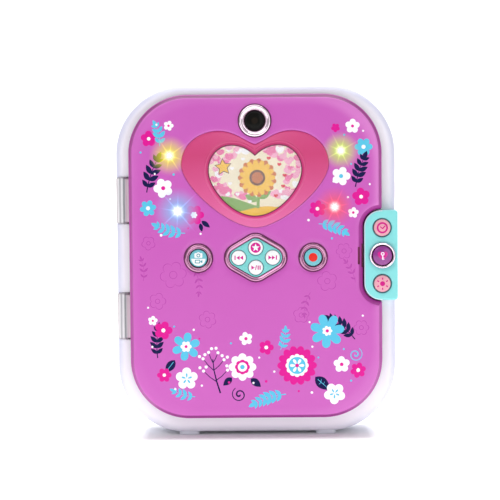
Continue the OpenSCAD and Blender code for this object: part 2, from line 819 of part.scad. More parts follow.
rear_case();
front_deck();
rubber_feet();
case_screws();
main_board();
board_screws();
lcd_module();
lcd_flex();
screen_lens();
keypad();
button_pad();
camera_module();
led_strips();
microphone();
speaker();
batteries();
battery_contacts();
lock_panel();
lock_ring();
lock_board();
lock_solenoid();
hinge_pins();
side_board();
battery_door();
door_screw();
lock_button();
clock_button();
light_button();
volume_up_button();
volume_down_button();
latch_bolt();
cover_shell();
cover_liner();
heart_bezel();
heart_window();
camera_ring();
camera_window();
photo_ring();
record_ring();
pad_bezel();
pad_plate();
button_membrane();
led_lenses();
hinge_leaves();
latch_strike();
cover_screws();
photo_button();
record_button();
play_button();
star_button();
previous_button();
next_button();
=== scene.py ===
import math
import random

import bmesh
import bpy
import numpy as np
from mathutils import Matrix, Vector
from mathutils.geometry import delaunay_2d_cdt


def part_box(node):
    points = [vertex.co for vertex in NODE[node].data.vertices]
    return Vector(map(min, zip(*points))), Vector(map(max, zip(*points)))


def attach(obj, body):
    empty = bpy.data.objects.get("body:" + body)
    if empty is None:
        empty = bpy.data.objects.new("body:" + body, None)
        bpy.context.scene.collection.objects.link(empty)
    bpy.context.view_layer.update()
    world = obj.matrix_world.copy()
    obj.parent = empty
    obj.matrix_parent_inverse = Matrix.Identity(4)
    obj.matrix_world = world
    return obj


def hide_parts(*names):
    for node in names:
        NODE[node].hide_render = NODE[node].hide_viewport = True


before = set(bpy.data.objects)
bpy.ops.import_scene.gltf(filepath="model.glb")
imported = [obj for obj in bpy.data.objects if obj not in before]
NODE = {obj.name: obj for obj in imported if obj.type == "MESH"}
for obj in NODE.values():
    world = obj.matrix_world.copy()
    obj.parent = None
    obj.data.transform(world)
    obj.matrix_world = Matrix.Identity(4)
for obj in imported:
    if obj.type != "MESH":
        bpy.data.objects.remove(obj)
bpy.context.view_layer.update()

rng = random.Random(7)

# ------------------------------------------------------------------ sizes, mm
BX, BZ, BW, BH, BR = -0.5, 95.3, 150.6, 187.4, 36.5
Y_RIM, Y_SPLIT, Y_BACK = -10.0, -1.0, 22.0
BACK_F, RIM_F = 8.0, 4.5
CX, CZ, CW, CH, CR = -0.75, 97.3, 136.2, 174.4, 32.0
Y_CB, Y_CF, Y_CI = -10.3, -20.5, -18.3
HX, HY = -72.0, -8.0
HINGE_Z = (CZ + 30.7, CZ - 31.7)
PHOTO, RECORD, CAMERA = (-30.5, -0.2), (30.5, -0.2), (0.0, 72.5)
STAR, PLAY, PREV, NEXT = (0.0, 5.2), (0.0, -5.4), (-9.05, -0.1), (9.05, -0.1)
LEDS = ((-45.4, 54.4), (-41.3, 24.9), (45.5, 56.3), (42.1, 26.5))
SCREEN = (0.0, 40.85)
LOCK_X, LOCK_Z, CLOCK_Z, LIGHT_Z = 66.65, CZ + 0.4, CZ + 15.2, CZ - 14.6
LP = (57.0, 75.5, 73.8, 121.9)
Y_LP = -19.5

# ------------------------------------------------------------------ 2D paths, as arrays of (x, z)


def arc(cx, cz, r, a0, a1, n):
    t = np.radians(np.linspace(a0, a1, n + 1))
    return np.c_[cx + r * np.cos(t), cz + r * np.sin(t)]


def rr(cx, cz, w, h, r, n=12, k=8):
    """Rounded rectangle, counter-clockwise, with the same number of points whatever its size."""
    r = max(r, 0.01)
    a, b = w / 2 - r, h / 2 - r
    parts = [arc(cx + a, cz + b, r, 0, 90, n), arc(cx - a, cz + b, r, 90, 180, n),
             arc(cx - a, cz - b, r, 180, 270, n), arc(cx + a, cz - b, r, 270, 360, n)]
    out = []
    for i, p in enumerate(parts):
        out.append(p)
        q = parts[(i + 1) % 4][0]
        t = np.arange(1, k + 1)[:, None] / (k + 1)
        out.append(p[-1] + (q - p[-1]) * t)
    return np.vstack(out)


def circle(cx, cz, r, n=48, a0=0):
    t = np.radians(a0) + np.linspace(0, 2 * math.pi, n, endpoint=False)
    return np.c_[cx + r * np.cos(t), cz + r * np.sin(t)]


def base_path(t, n=28, k=24):
    return rr(BX, BZ, BW - 2 * t, BH - 2 * t, BR - t, n, k)


def bitten(w, h, r, xl, zb, zt, rc, ro, t, tb=None, k01=0, ks=(16, 18, 40, 62, 40, 18), cx=CX, cz=CZ):
    """Rounded rectangle with a rounded bite in its right edge, moved inwards by t; the bite moves by tb."""
    a, b = w / 2, h / 2
    tb = t if tb is None else tb
    r1 = max(ro - t, 0.02)
    x1 = a - t - r1
    if x1 >= xl + rc:
        phi, z1, z2 = -90.0, zb - tb - r1, zt + tb + r1
    else:
        d = rc + tb + r1
        dx = x1 - (xl + rc)
        dz = -math.sqrt(d * d - dx * dx)
        phi, z1, z2 = math.degrees(math.atan2(dz, dx)), zb + rc + dz, zt - rc - dz
    R = r - t
    parts = [
        arc(x1, z1, r1, 0, phi + 180, 6), arc(xl + rc, zb + rc, rc + tb, phi, -180, 14),
        arc(xl + rc, zt - rc, rc + tb, 180, -phi, 14), arc(x1, z2, r1, -phi - 180, 0, 6),
        arc(a - r, b - r, R, 0, 90, 28), arc(-a + r, b - r, R, 90, 180, 28),
        arc(-a + r, -b + r, R, 180, 270, 28), arc(a - r, -b + r, R, 270, 360, 28)]
    ks = (k01, ks[0], k01, ks[1], ks[2], ks[3], ks[4], ks[5])
    out = []
    for i, p in enumerate(parts):
        q = parts[(i + 1) % len(parts)][0]
        out.append(p if ks[i] else p[:-1])
        if ks[i]:
            u = np.arange(1, ks[i] + 1)[:, None] / (ks[i] + 1)
            out.append(p[-1] + (q - p[-1]) * u)
    return np.vstack(out) + (cx, cz)


def cover_path(t):
    """Outline of the cover with the bite for the lock panel, moved inwards by t."""
    tb = float(np.interp(t, [0, .95, 1.4, 1.86, 2.5, 50], [0, .22, .75, 1.4, 2.5, 50]))
    return bitten(CW, CH, CR, LP[0] - .35 - CX, LP[2] - .35 - CZ, LP[3] + .35 - CZ, 9.35, 1.8, t, tb)


def pocket_path(t):
    """Outline of the pocket in the deck, moved inwards by t."""
    return bitten(126, 164, 27, 57 - CX, 73.3 - CZ, 122.4 - CZ, 1.5, 1.5, t, k01=2)


def cubic(p, n):
    t = np.linspace(0, 1, n + 1)[:, None]
    p = np.array(p, float)
    return p[0] * (1 - t) ** 3 + 3 * p[1] * t * (1 - t) ** 2 + 3 * p[2] * t * t * (1 - t) + p[3] * t ** 3


def heart_path(cleft, top, wide, tip, k, n=18):
    c = [cubic([[0, cleft], [k[0], cleft + k[1]], [top[0] - k[2], top[1]], top], n)]
    c.append(cubic([top, [top[0] + .56 * (wide[0] - top[0]), top[1]],
                    [wide[0], wide[1] + .56 * (top[1] - wide[1])], wide], n)[1:])
    c.append(cubic([wide, [wide[0], wide[1] - k[3]], [k[4], tip], [0, tip]], 2 * n)[1:])
    half = np.vstack(c)
    back = half[-2:0:-1] * (-1, 1)
    return (np.vstack([half, back]) + (CX, CZ))[::-1]


WINDOW = heart_path(53.8, [12.6, 59.4], [24.6, 46.3], 22.2, [2.5, 2.4, 6, 9.3, 12.5])
FRAME = heart_path(60.2, [19.4, 67.3], [39.3, 49.6], 15.8, [4.4, 1.0, 9, 12, 14])


def area(p):
    x, z = p[:, 0], p[:, 1]
    return 0.5 * np.sum(x * np.roll(z, -1) - np.roll(x, -1) * z)


def grow(path, g):
    """Path moved outwards by g along its own normals."""
    d = np.roll(path, -1, 0) - np.roll(path, 1, 0)
    n = np.c_[d[:, 1], -d[:, 0]]
    n /= np.maximum(np.hypot(n[:, 0], n[:, 1])[:, None], 1e-9)
    if area(path) < 0:
        n = -n
    return path + n * g


def heart_grow(path, g):
    """A heart moved outwards by g: points that would cross the middle stay on it."""
    out = grow(path, g)
    x0 = CX
    side = np.sign(path[:, 0] - x0)
    bad = (side * (out[:, 0] - x0) < 0)
    out[bad, 0] = x0 + side[bad] * 0.001
    return out


def pad_path(r, n=14):
    a, b = 9.05, 5.3
    f = math.degrees(math.atan2(a, b))
    parts = [arc(a, 0, r, -f, f, n), arc(0, b, r, f, 180 - f, n), arc(-a, 0, r, 180 - f, 180 + f, n),
             arc(0, -b, r, 180 + f, 360 - f, n)]
    out = []
    for i, p in enumerate(parts):
        out.append(p)
        q = parts[(i + 1) % 4][0]
        u = np.arange(1, 5)[:, None] / 5
        out.append(p[-1] + (q - p[-1]) * u)
    return np.vstack(out) + (CX, CZ - 0.1)


def lp_path(t, draft=0.0):
    """Outline of the lock panel, moved inwards by t; draft takes its outer side further in."""
    l, r, b, top = LP[0] + t, LP[1] - t - draft, LP[2] + t, LP[3] - t
    q, p = max(9 - t, .05), max(1.8 - t, 0.05)
    parts = [arc(r - p, top - p, p, 0, 90, 8), arc(l + q, top - q, q, 90, 180, 16),
             arc(l + q, b + q, q, 180, 270, 16), arc(r - p, b + p, p, 270, 360, 8)]
    out = []
    for i, c in enumerate(parts):
        out.append(c)
        d = parts[(i + 1) % 4][0]
        u = np.arange(1, 9)[:, None] / 9
        out.append(c[-1] + (d - c[-1]) * u)
    return np.vstack(out)


def inside(path, pts):
    """Which points lie inside a closed path (even-odd)."""
    x, z = pts[:, 0], pts[:, 1]
    res = np.zeros(len(pts), bool)
    ax, az = path[:, 0], path[:, 1]
    bx, bz = np.roll(ax, -1), np.roll(az, -1)
    for i in range(len(path)):
        c = (az[i] > z) != (bz[i] > z)
        if not c.any():
            continue
        xi = ax[i] + (z[c] - az[i]) * (bx[i] - ax[i]) / (bz[i] - az[i])
        idx = np.where(c)[0]
        res[idx[x[c] < xi]] ^= True
    return res


def path_distance(path, pts):
    """Distance from each point to a closed path."""
    a = path
    b = np.roll(path, -1, 0)
    ab = b - a
    L = np.maximum((ab ** 2).sum(1), 1e-12)
    out = np.full(len(pts), 1e9)
    for s in range(0, len(pts), 4000):
        p = pts[s:s + 4000]
        ap = p[:, None, :] - a[None]
        t = np.clip((ap * ab[None]).sum(2) / L[None], 0, 1)
        d = ap - t[..., None] * ab[None]
        out[s:s + 4000] = np.sqrt((d ** 2).sum(2)).min(1)
    return out


def smooth(x):
    x = np.clip(x, 0, 1)
    return x * x * (3 - 2 * x)

# ------------------------------------------------------------------ the cover's face as a height


COVER0 = cover_path(0)
T_FACE = 3.8
FACE0 = -20.44


def face_y(pts):
    """y of the cover's front face at points (x, z)."""
    pts = np.asarray(pts, float)
    d = path_distance(COVER0, pts)
    y = FACE0 - 0.16 * smooth((d - T_FACE) / 15)
    fade = smooth((d - T_FACE) / 1.6)
    for at, ring, out, deep in ((CAMERA, 8.9, 12.2, .34), (PHOTO, 7.6, 9.6, .3), (RECORD, 7.6, 9.6, .3)):
        r = np.hypot(pts[:, 0] - CX - at[0], pts[:, 1] - CZ - at[1])
        y = y + deep * smooth((out - r) / (out - ring)) * fade
    near = np.hypot((pts[:, 0] - CX) / 20, (pts[:, 1] - CZ) / 17) < 1.1
    if near.any():
        pp = pad_path(7.6)
        dd = path_distance(pp, pts[near])
        dd[inside(pp, pts[near])] = 0
        y[near] += .28 * smooth((2.1 - dd) / 2.1)
    return y

# ------------------------------------------------------------------ mesh helpers


class Shape:
    """Collects points (mm) and faces, each with a material index."""

    def __init__(self):
        self.v, self.f, self.m = [], [], []
        self.n = 0

    def add(self, verts, faces, mat=0):
        verts = np.asarray(verts, float)
        self.v.append(verts)
        for k, f in enumerate(faces):
            self.f.append([int(i) + self.n for i in f])
            self.m.append(int(mat[k]) if hasattr(mat, "__len__") else mat)
        self.n += len(verts)
        return self

    def loft(self, rings, mat=0, closed=True):
        """rings: list of (path, y). Neighbouring rings have the same number of points."""
        vs = []
        for path, y in rings:
            y = np.broadcast_to(np.asarray(y, float), (len(path),))
            vs.append(np.c_[path[:, 0], y, path[:, 1]])
        n = len(rings[0][0])
        faces = []
        for i in range(len(rings) - 1):
            for j in range(n if closed else n - 1):
                k = (j + 1) % n
                faces.append((i * n + j, i * n + k, (i + 1) * n + k, (i + 1) * n + j))
        return self.add(np.vstack(vs), faces, mat)

    def fill(self, loops, y, step=None, mat=0, keep=None, classes=()):
        """Triangles inside the even-odd region of the loops. y is a number or a function of (x, z)."""
        tri_v, tri_f = triangulate(loops, step, extra=[c[0] for c in classes])
        yy = y(tri_v) if callable(y) else np.full(len(tri_v), float(y))
        m = mat
        if classes:
            c = tri_v[tri_f].mean(1)
            m = np.full(len(tri_f), mat)
            for path, k in classes:
                lo, hi = path.min(0), path.max(0)
                cand = np.where((c[:, 0] > lo[0]) & (c[:, 0] < hi[0]) & (c[:, 1] > lo[1]) & (c[:, 1] < hi[1]))[0]
                if len(cand):
                    m[cand[inside(path, c[cand])]] = k
        return self.add(np.c_[tri_v[:, 0], yy, tri_v[:, 1]], tri_f, m)

    def lathe(self, x, z, profile, n=64, mat=0, own=()):
        """profile: (radius, y) pairs, turned about the line through (x, z) along y. own: material of single segments."""
        own = dict(own)
        vs, faces, which = [], [], []
        t = np.linspace(0, 2 * math.pi, n, endpoint=False)
        start = []
        for r, y in profile:
            start.append(len(vs))
            if r < 1e-6:
                vs.append((x, y, z))
            else:
                vs += [(x + r * math.cos(a), y, z + r * math.sin(a)) for a in t]
        for i in range(len(profile) - 1):
            a, b = start[i], start[i + 1]
            ra, rb = profile[i][0] < 1e-6, profile[i + 1][0] < 1e-6
            for j in range(n):
                k = (j + 1) % n
                if ra and rb:
                    continue
                which.append(own.get(i, mat))
                if ra:
                    faces.append((a, b + j, b + k))
                elif rb:
                    faces.append((a + j, a + k, b))
                else:
                    faces.append((a + j, a + k, b + k, b + j))
        return self.add(vs, faces, which)

    def box(self, x0, x1, y0, y1, z0, z1, mat=0):
        v = [(x, y, z) for x in (x0, x1) for y in (y0, y1) for z in (z0, z1)]
        f = [(0, 1, 3, 2), (4, 6, 7, 5), (0, 4, 5, 1), (2, 3, 7, 6), (0, 2, 6, 4), (1, 5, 7, 3)]
        return self.add(v, f, mat)

    def block(self, path_of, y0, y1, f0=0.0, f1=0.0, n=4, mat=0, step=None):
        """Solid between y0 (front) and y1 (back) whose outline is path_of(inset), with rounded edges f0 and f1."""
        rings = []
        for i in range(n + 1):
            a = math.radians(90 * i / n)
            if f0 > 0:
                rings.append((path_of(f0 * (1 - math.sin(a))), y0 + f0 * (1 - math.cos(a))))
        if not rings:
            rings.append((path_of(0), y0))
        tail = []
        for i in range(n + 1):
            a = math.radians(90 * i / n)
            if f1 > 0:
                tail.append((path_of(f1 * (1 - math.cos(a))), y1 - f1 * (1 - math.sin(a))))
        if not tail:
            tail.append((path_of(0), y1))
        rings += tail
        self.loft(rings, mat)
        self.fill([rings[0][0]], rings[0][1], step, mat)
        self.fill([rings[-1][0]], rings[-1][1], step, mat)
        return self


def triangulate(loops, step=None, extra=()):
    pts = [np.asarray(l, float) for l in loops]
    verts = np.vstack(pts)
    edges = []
    base = 0
    for p in pts:
        edges += [(base + i, base + (i + 1) % len(p)) for i in range(len(p))]
        base += len(p)
    if step:
        lo, hi = verts.min(0), verts.max(0)
        xs = np.arange(lo[0] + step / 2, hi[0], step)
        zs = np.arange(lo[1] + step / 2, hi[1], step * .866)
        g = np.array([(x + (step / 2 if i % 2 else 0), z) for i, z in enumerate(zs) for x in xs])
        ok = np.zeros(len(g), bool)
        for p in pts:
            ok ^= inside(p, g)
        g = g[ok]
        if len(g):
            dmin = np.min([path_distance(p, g) for p in pts], axis=0)
            g = g[dmin > step * .45]
        if len(g):
            for e in extra:
                lo, hi = e.min(0) - step, e.max(0) + step
                near = np.where((g > lo).all(1) & (g < hi).all(1))[0]
                if len(near):
                    dd = path_distance(e, g[near])
                    g = np.delete(g, near[dd < step * .3], 0)
        verts = np.vstack([verts, g]) if len(g) else verts
    for e in extra:
        n0 = len(verts)
        verts = np.vstack([verts, e])
        edges += [(n0 + i, n0 + (i + 1) % len(e)) for i in range(len(e))]
    r = delaunay_2d_cdt([Vector(v) for v in verts], edges, [], 0, 1e-5)
    v = np.array([tuple(q) for q in r[0]])
    f = np.array([t for t in r[2] if len(t) == 3])
    c = v[f].mean(1)
    ok = np.zeros(len(f), bool)
    for p in pts:
        ok ^= inside(p, c)
    return v, f[ok]


def build(name, shape, mats, body, replaces=(), angle=32, weld=1e-3, cutters=(), flip=None, auto=True):
    """Blender object from a Shape, in metres, riding on a body."""
    me = bpy.data.meshes.new(name)
    v = np.vstack(shape.v) * 0.001
    me.from_pydata([tuple(p) for p in v], [], shape.f)
    me.polygons.foreach_set("material_index", shape.m)
    for m in mats:
        me.materials.append(m)
    bm = bmesh.new()
    bm.from_mesh(me)
    if weld:
        bmesh.ops.remove_doubles(bm, verts=bm.verts, dist=weld * 0.001)
        bmesh.ops.dissolve_degenerate(bm, edges=bm.edges, dist=1e-7)
    if auto:
        bmesh.ops.recalc_face_normals(bm, faces=bm.faces)
    if flip:
        bmesh.ops.reverse_faces(bm, faces=bm.faces)
    bm.to_mesh(me)
    bm.free()
    o = bpy.data.objects.new(name, me)
    bpy.context.scene.collection.objects.link(o)
    for cut, op in cutters:
        mod = o.modifiers.new("cut", "BOOLEAN")
        mod.operation = op
        mod.solver = "EXACT"
        mod.object = cut
        bpy.context.view_layer.update()
        dg = bpy.context.evaluated_depsgraph_get()
        new = bpy.data.meshes.new_from_object(o.evaluated_get(dg))
        o.modifiers.clear()
        o.data = new
    me = o.data
    me.polygons.foreach_set("use_smooth", [True] * len(me.polygons))
    me.set_sharp_from_angle(angle=math.radians(angle))
    if body:
        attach(o, body)
    if replaces:
        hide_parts(*replaces)
    return o


def cutter(shape, mats=()):
    return build("cutter", shape, list(mats), None)


def drop(*objs):
    for o in objs:
        me = o.data
        bpy.data.objects.remove(o)
        if me.users == 0:
            bpy.data.meshes.remove(me)

# ------------------------------------------------------------------ materials


def new_mat(name):
    m = bpy.data.materials.new(name)
    m.use_nodes = True
    nt = m.node_tree
    nt.nodes.clear()
    out = nt.nodes.new("ShaderNodeOutputMaterial")
    p = nt.nodes.new("ShaderNodeBsdfPrincipled")
    nt.links.new(p.outputs[0], out.inputs[0])
    return m, nt, p


def coords(nt):
    return nt.nodes.new("ShaderNodeTexCoord").outputs["Object"]


def noise(nt, vec, scale, detail=3, rough=.5, kind="FBM"):
    n = nt.nodes.new("ShaderNodeTexNoise")
    n.inputs["Scale"].default_value = scale
    n.inputs["Detail"].default_value = detail
    n.inputs["Roughness"].default_value = rough
    nt.links.new(vec, n.inputs["Vector"])
    return n.outputs["Fac"]


def ramp(nt, fac, stops):
    r = nt.nodes.new("ShaderNodeValToRGB")
    e = r.color_ramp.elements
    e[0].position, e[0].color = stops[0][0], (*stops[0][1], 1)
    e[1].position, e[1].color = stops[-1][0], (*stops[-1][1], 1)
    for pos, col in stops[1:-1]:
        k = e.new(pos)
        k.color = (*col, 1)
    nt.links.new(fac, r.inputs["Fac"])
    return r.outputs["Color"]


def maths(nt, op, a, b=None, c=None, clamp=False):
    n = nt.nodes.new("ShaderNodeMath")
    n.operation = op
    n.use_clamp = clamp
    for i, v in enumerate((a, b, c)):
        if v is None:
            continue
        if isinstance(v, (int, float)):
            n.inputs[i].default_value = v
        else:
            nt.links.new(v, n.inputs[i])
    return n.outputs[0]


def span(nt, v, a, b, c, d, smooth_step=False):
    n = nt.nodes.new("ShaderNodeMapRange")
    if smooth_step:
        n.interpolation_type = "SMOOTHSTEP"
    nt.links.new(v, n.inputs["Value"])
    for k, x in zip(("From Min", "From Max", "To Min", "To Max"), (a, b, c, d)):
        n.inputs[k].default_value = x
    return n.outputs["Result"]


def mixc(nt, fac, a, b, mode="MIX"):
    n = nt.nodes.new("ShaderNodeMix")
    n.data_type = "RGBA"
    n.blend_type = mode
    for key, v in ((0, fac), (6, a), (7, b)):
        if isinstance(v, (int, float)):
            n.inputs[key].default_value = v
        elif isinstance(v, tuple):
            n.inputs[key].default_value = (*v, 1)
        else:
            nt.links.new(v, n.inputs[key])
    return n.outputs[2]


def bump(nt, height, strength, distance=0.0002):
    b = nt.nodes.new("ShaderNodeBump")
    b.inputs["Strength"].default_value = strength
    b.inputs["Distance"].default_value = distance
    nt.links.new(height, b.inputs["Height"])
    return b.outputs["Normal"]


def tint(c, k):
    return tuple(min(1, max(0, v * k)) for v in c)


def srgb(r, g, b):
    """Linear colour from an 8-bit one."""
    return tuple((v / 255 / 12.92) if v / 255 <= .04045 else ((v / 255 + .055) / 1.055) ** 2.4 for v in (r, g, b))


def plastic(name, col, rough=.32, coat=.0, var=.04, grain=.06, grain_scale=2600, emission=None, trans=0.0,
            spec=.5, alpha=1.0, ior=1.5, metallic=0.0, blot=30, gloss=.05):
    """Moulded plastic: slight colour drift, fine surface grain, uneven gloss."""
    m, nt, p = new_mat(name)
    vec = coords(nt)
    big = noise(nt, vec, blot, 2)
    nt.links.new(ramp(nt, big, [(.3, tint(col, 1 - var)), (.7, tint(col, 1 + var))]), p.inputs["Base Color"])
    fine = noise(nt, vec, 420, 4, .6)
    nt.links.new(span(nt, fine, .3, .7, max(rough - gloss, .02), rough + gloss), p.inputs["Roughness"])
    if grain:
        nt.links.new(bump(nt, noise(nt, vec, grain_scale, 2), grain, .00004), p.inputs["Normal"])
    p.inputs["Coat Weight"].default_value = coat
    p.inputs["Coat Roughness"].default_value = .06
    p.inputs["Specular IOR Level"].default_value = spec
    p.inputs["Transmission Weight"].default_value = trans
    p.inputs["IOR"].default_value = ior
    p.inputs["Alpha"].default_value = alpha
    p.inputs["Metallic"].default_value = metallic
    if emission:
        nt.links.new(ramp(nt, big, [(.3, tint(emission[0], .93)), (.7, emission[0])]), p.inputs["Emission Color"])
        p.inputs["Emission Strength"].default_value = emission[1]
    return m


def metal(name, col, rough=.12, brushed=0.0, var=.05):
    m, nt, p = new_mat(name)
    vec = coords(nt)
    big = noise(nt, vec, 90, 3)
    nt.links.new(ramp(nt, big, [(.3, tint(col, 1 - var)), (.7, tint(col, 1 + var))]), p.inputs["Base Color"])
    sc = nt.nodes.new("ShaderNodeMapping")
    sc.inputs["Scale"].default_value = (1, 1, .05) if brushed else (1, 1, 1)
    nt.links.new(vec, sc.inputs["Vector"])
    fine = noise(nt, sc.outputs[0], 2400 if brushed else 700, 3, .6)
    nt.links.new(span(nt, fine, .3, .7, max(rough - .05, .02), rough + .06), p.inputs["Roughness"])
    if brushed:
        nt.links.new(bump(nt, fine, brushed, .00003), p.inputs["Normal"])
    p.inputs["Metallic"].default_value = 1.0
    return m


def add_glow(nt, p):
    """Painted light of the four lamps: a glow with star rays, emitted by the cover's own face round each of them over a
    base colour darkened there.
    """
    vec = coords(nt)
    sep = nt.nodes.new("ShaderNodeSeparateXYZ")
    nt.links.new(vec, sep.inputs[0])
    total = weight = None
    for (x, z), (col, size, turn) in zip(LEDS, LED_LOOK):
        x0, z0 = (CX + x) * .001, (CZ + z) * .001
        dx = maths(nt, "SUBTRACT", sep.outputs[0], x0)
        dz = maths(nt, "SUBTRACT", sep.outputs[2], z0)
        r = maths(nt, "SQRT", maths(nt, "ADD", maths(nt, "MULTIPLY", dx, dx), maths(nt, "MULTIPLY", dz, dz)))
        soft = maths(nt, "POWER", span(nt, r, .0008, .0100 * size, 1, 0, True), .85)
        core = maths(nt, "POWER", span(nt, r, .0008, .0042 * size, 1, 0, True), 1.5)
        rays = None
        for k, deg in enumerate((35, 122, 80, 162)):
            c, s_ = math.cos(math.radians(deg + turn)), math.sin(math.radians(deg + turn))
            u = maths(nt, "ABSOLUTE", maths(nt, "ADD", maths(nt, "MULTIPLY", dx, c), maths(nt, "MULTIPLY", dz, s_)))
            w_ = maths(nt, "ABSOLUTE", maths(nt, "SUBTRACT", maths(nt, "MULTIPLY", dx, s_), maths(nt, "MULTIPLY", dz, c)))
            long = .0135 if k < 2 else .0095
            one = maths(nt, "MULTIPLY", span(nt, w_, 0, .0006, 1, 0, True),
                        maths(nt, "POWER", span(nt, u, 0, long * size, 1, 0, True), 1.5))
            rays = one if rays is None else maths(nt, "MAXIMUM", rays, one)
        f = maths(nt, "ADD", maths(nt, "ADD", maths(nt, "MULTIPLY", soft, .8), maths(nt, "MULTIPLY", core, .5)),
                  maths(nt, "MULTIPLY", rays, .4))
        weight = soft if weight is None else maths(nt, "MAXIMUM", weight, soft)
        hue = mixc(nt, maths(nt, "MULTIPLY", maths(nt, "POWER", core, 1.6), .85), col, (1.0, 1.0, .94))
        v = nt.nodes.new("ShaderNodeVectorMath")
        v.operation = "SCALE"
        nt.links.new(hue, v.inputs[0])
        nt.links.new(f, v.inputs["Scale"])
        if total is None:
            total = v.outputs[0]
        else:
            add = nt.nodes.new("ShaderNodeVectorMath")
            add.operation = "ADD"
            nt.links.new(total, add.inputs[0])
            nt.links.new(v.outputs[0], add.inputs[1])
            total = add.outputs[0]
    nt.links.new(total, p.inputs["Emission Color"])
    p.inputs["Emission Strength"].default_value = 1.0
    link = p.inputs["Base Color"].links[0]
    nt.links.new(mixc(nt, maths(nt, "MULTIPLY", weight, .85, clamp=True), link.from_socket, (.02, .02, .02)), p.inputs["Base Color"])


LED_LOOK = ((srgb(244, 232, 20), 1.12, 0), (srgb(130, 190, 250), 1.35, 8), (srgb(204, 236, 80), 1.05, -6),
            (srgb(250, 80, 96), 1.15, 30))


def cover_mat(name, deep, pale, rough=.3, glow=True, drift=.03, spec=.5, coat=.3):
    """Pearly moulded plastic, deeper in the middle, with a painted highlight that makes it paler towards the edge of
    the cover and towards the top; the lamps' painted glow lies on top.
    """
    m, nt, p = new_mat(name)
    vec = coords(nt)
    sep = nt.nodes.new("ShaderNodeSeparateXYZ")
    nt.links.new(vec, sep.inputs[0])
    dx = maths(nt, "ABSOLUTE", maths(nt, "SUBTRACT", sep.outputs[0], CX * .001))
    dz = maths(nt, "ABSOLUTE", maths(nt, "SUBTRACT", sep.outputs[2], CZ * .001))
    ex = maths(nt, "MAXIMUM", maths(nt, "SUBTRACT", dx, .0281), 0.0)
    ez = maths(nt, "MAXIMUM", maths(nt, "SUBTRACT", dz, .0472), 0.0)
    d = maths(nt, "SQRT", maths(nt, "ADD", maths(nt, "MULTIPLY", ex, ex), maths(nt, "MULTIPLY", ez, ez)))
    # painted highlight: paler along the edge of the cover, stronger on the right and weaker towards the bottom, plus a
    # little paler towards the top
    edge = maths(nt, "MULTIPLY", span(nt, d, .0325, .0378, 0, 1, True), span(nt, sep.outputs[0], -.05, .06, .3, 1))
    up = span(nt, sep.outputs[2], .05, .185, 0, 1)
    big = noise(nt, vec, 22, 2)
    edge = maths(nt, "MULTIPLY", edge, span(nt, sep.outputs[2], .02, .14, .35, 1))
    fac = maths(nt, "ADD", maths(nt, "MULTIPLY", edge, .75), maths(nt, "MULTIPLY", up, .14), clamp=True)
    fac = maths(nt, "ADD", fac, maths(nt, "MULTIPLY", maths(nt, "SUBTRACT", big, .5), drift * 4), clamp=True)
    nt.links.new(ramp(nt, fac, [(0, deep), (1, pale)]), p.inputs["Base Color"])
    fine = noise(nt, vec, 45, 2)
    nt.links.new(span(nt, fine, .3, .7, rough - .02, rough + .03), p.inputs["Roughness"])
    p.inputs["Coat Weight"].default_value = coat
    p.inputs["Coat Roughness"].default_value = .12
    p.inputs["Specular IOR Level"].default_value = spec
    if glow:
        add_glow(nt, p)
    return m


def edge_mat(name, stops, axis, a, b, rough=.34):
    """Colour that runs along one axis of the object; it carries painted shade on the cover's side wall, band, notch and
    ring outlines, the heart's lip and the lock panel's gap.
    """
    m, nt, p = new_mat(name)
    vec = coords(nt)
    sep = nt.nodes.new("ShaderNodeSeparateXYZ")
    nt.links.new(vec, sep.inputs[0])
    fac = span(nt, sep.outputs[axis], a, b, 0, 1)
    fac = maths(nt, "ADD", fac, maths(nt, "MULTIPLY", maths(nt, "SUBTRACT", noise(nt, vec, 30, 2), .5), .08), clamp=True)
    nt.links.new(ramp(nt, fac, stops), p.inputs["Base Color"])
    nt.links.new(span(nt, noise(nt, vec, 60, 2), .3, .7, rough - .02, rough + .03), p.inputs["Roughness"])
    p.inputs["Specular IOR Level"].default_value = .35
    return m

# ------------------------------------------------------------------ printed decoration, as flat outlines


def C(x, z):
    return (CX + x, CZ + z)


def bloom(x, z, R, n, depth=.34, p=.75, rot=0.0, m=12):
    """Flower outline with n round petals."""
    t = np.linspace(0, 2 * math.pi, n * m, endpoint=False)
    r = R * (1 - depth + depth * np.abs(np.cos(n * (t - math.radians(rot)) / 2)) ** p)
    return np.c_[x + r * np.cos(t), z + r * np.sin(t)] + (CX, CZ)


def petals(x, z, R, n, w, rot=0.0, inner=.12, notch=0.0, m=22):
    out = []
    for i in range(n):
        a = math.radians(rot + 360 * i / n)
        t = np.linspace(0, 2 * math.pi, m, endpoint=False)
        u = (1 + np.cos(t)) / 2
        rr_ = R * (inner + (1 - inner) * u)
        if notch:
            rr_ = rr_ - R * notch * np.exp(-((t + math.pi) % (2 * math.pi) - math.pi) ** 2 / .12)
        ww = w * np.sin(t) * (.55 + .45 * u)
        px = rr_ * math.cos(a) - ww * math.sin(a)
        pz = rr_ * math.sin(a) + ww * math.cos(a)
        out.append(np.c_[x + px, z + pz] + (CX, CZ))
    return out


def leaf(x, z, L, w, ang, m=9):
    s = np.linspace(0, 1, m)
    half = w * np.sin(math.pi * s ** .85) ** .9
    a = math.radians(ang)
    up = np.c_[s * L, half]
    dn = np.c_[s[::-1] * L, -half[::-1]][1:-1]
    p = np.vstack([up, dn])
    return np.c_[x + p[:, 0] * math.cos(a) - p[:, 1] * math.sin(a),
                 z + p[:, 0] * math.sin(a) + p[:, 1] * math.cos(a)] + (CX, CZ)


def band(line, w0, w1):
    """Closed outline of a line with a width that tapers from w0 to w1."""
    line = np.asarray(line, float)
    d = np.gradient(line, axis=0)
    n = np.c_[-d[:, 1], d[:, 0]]
    n /= np.hypot(n[:, 0], n[:, 1])[:, None]
    w = np.linspace(w0, w1, len(line))[:, None] / 2
    return np.vstack([line + n * w, (line - n * w)[::-1]]) + (CX, CZ)


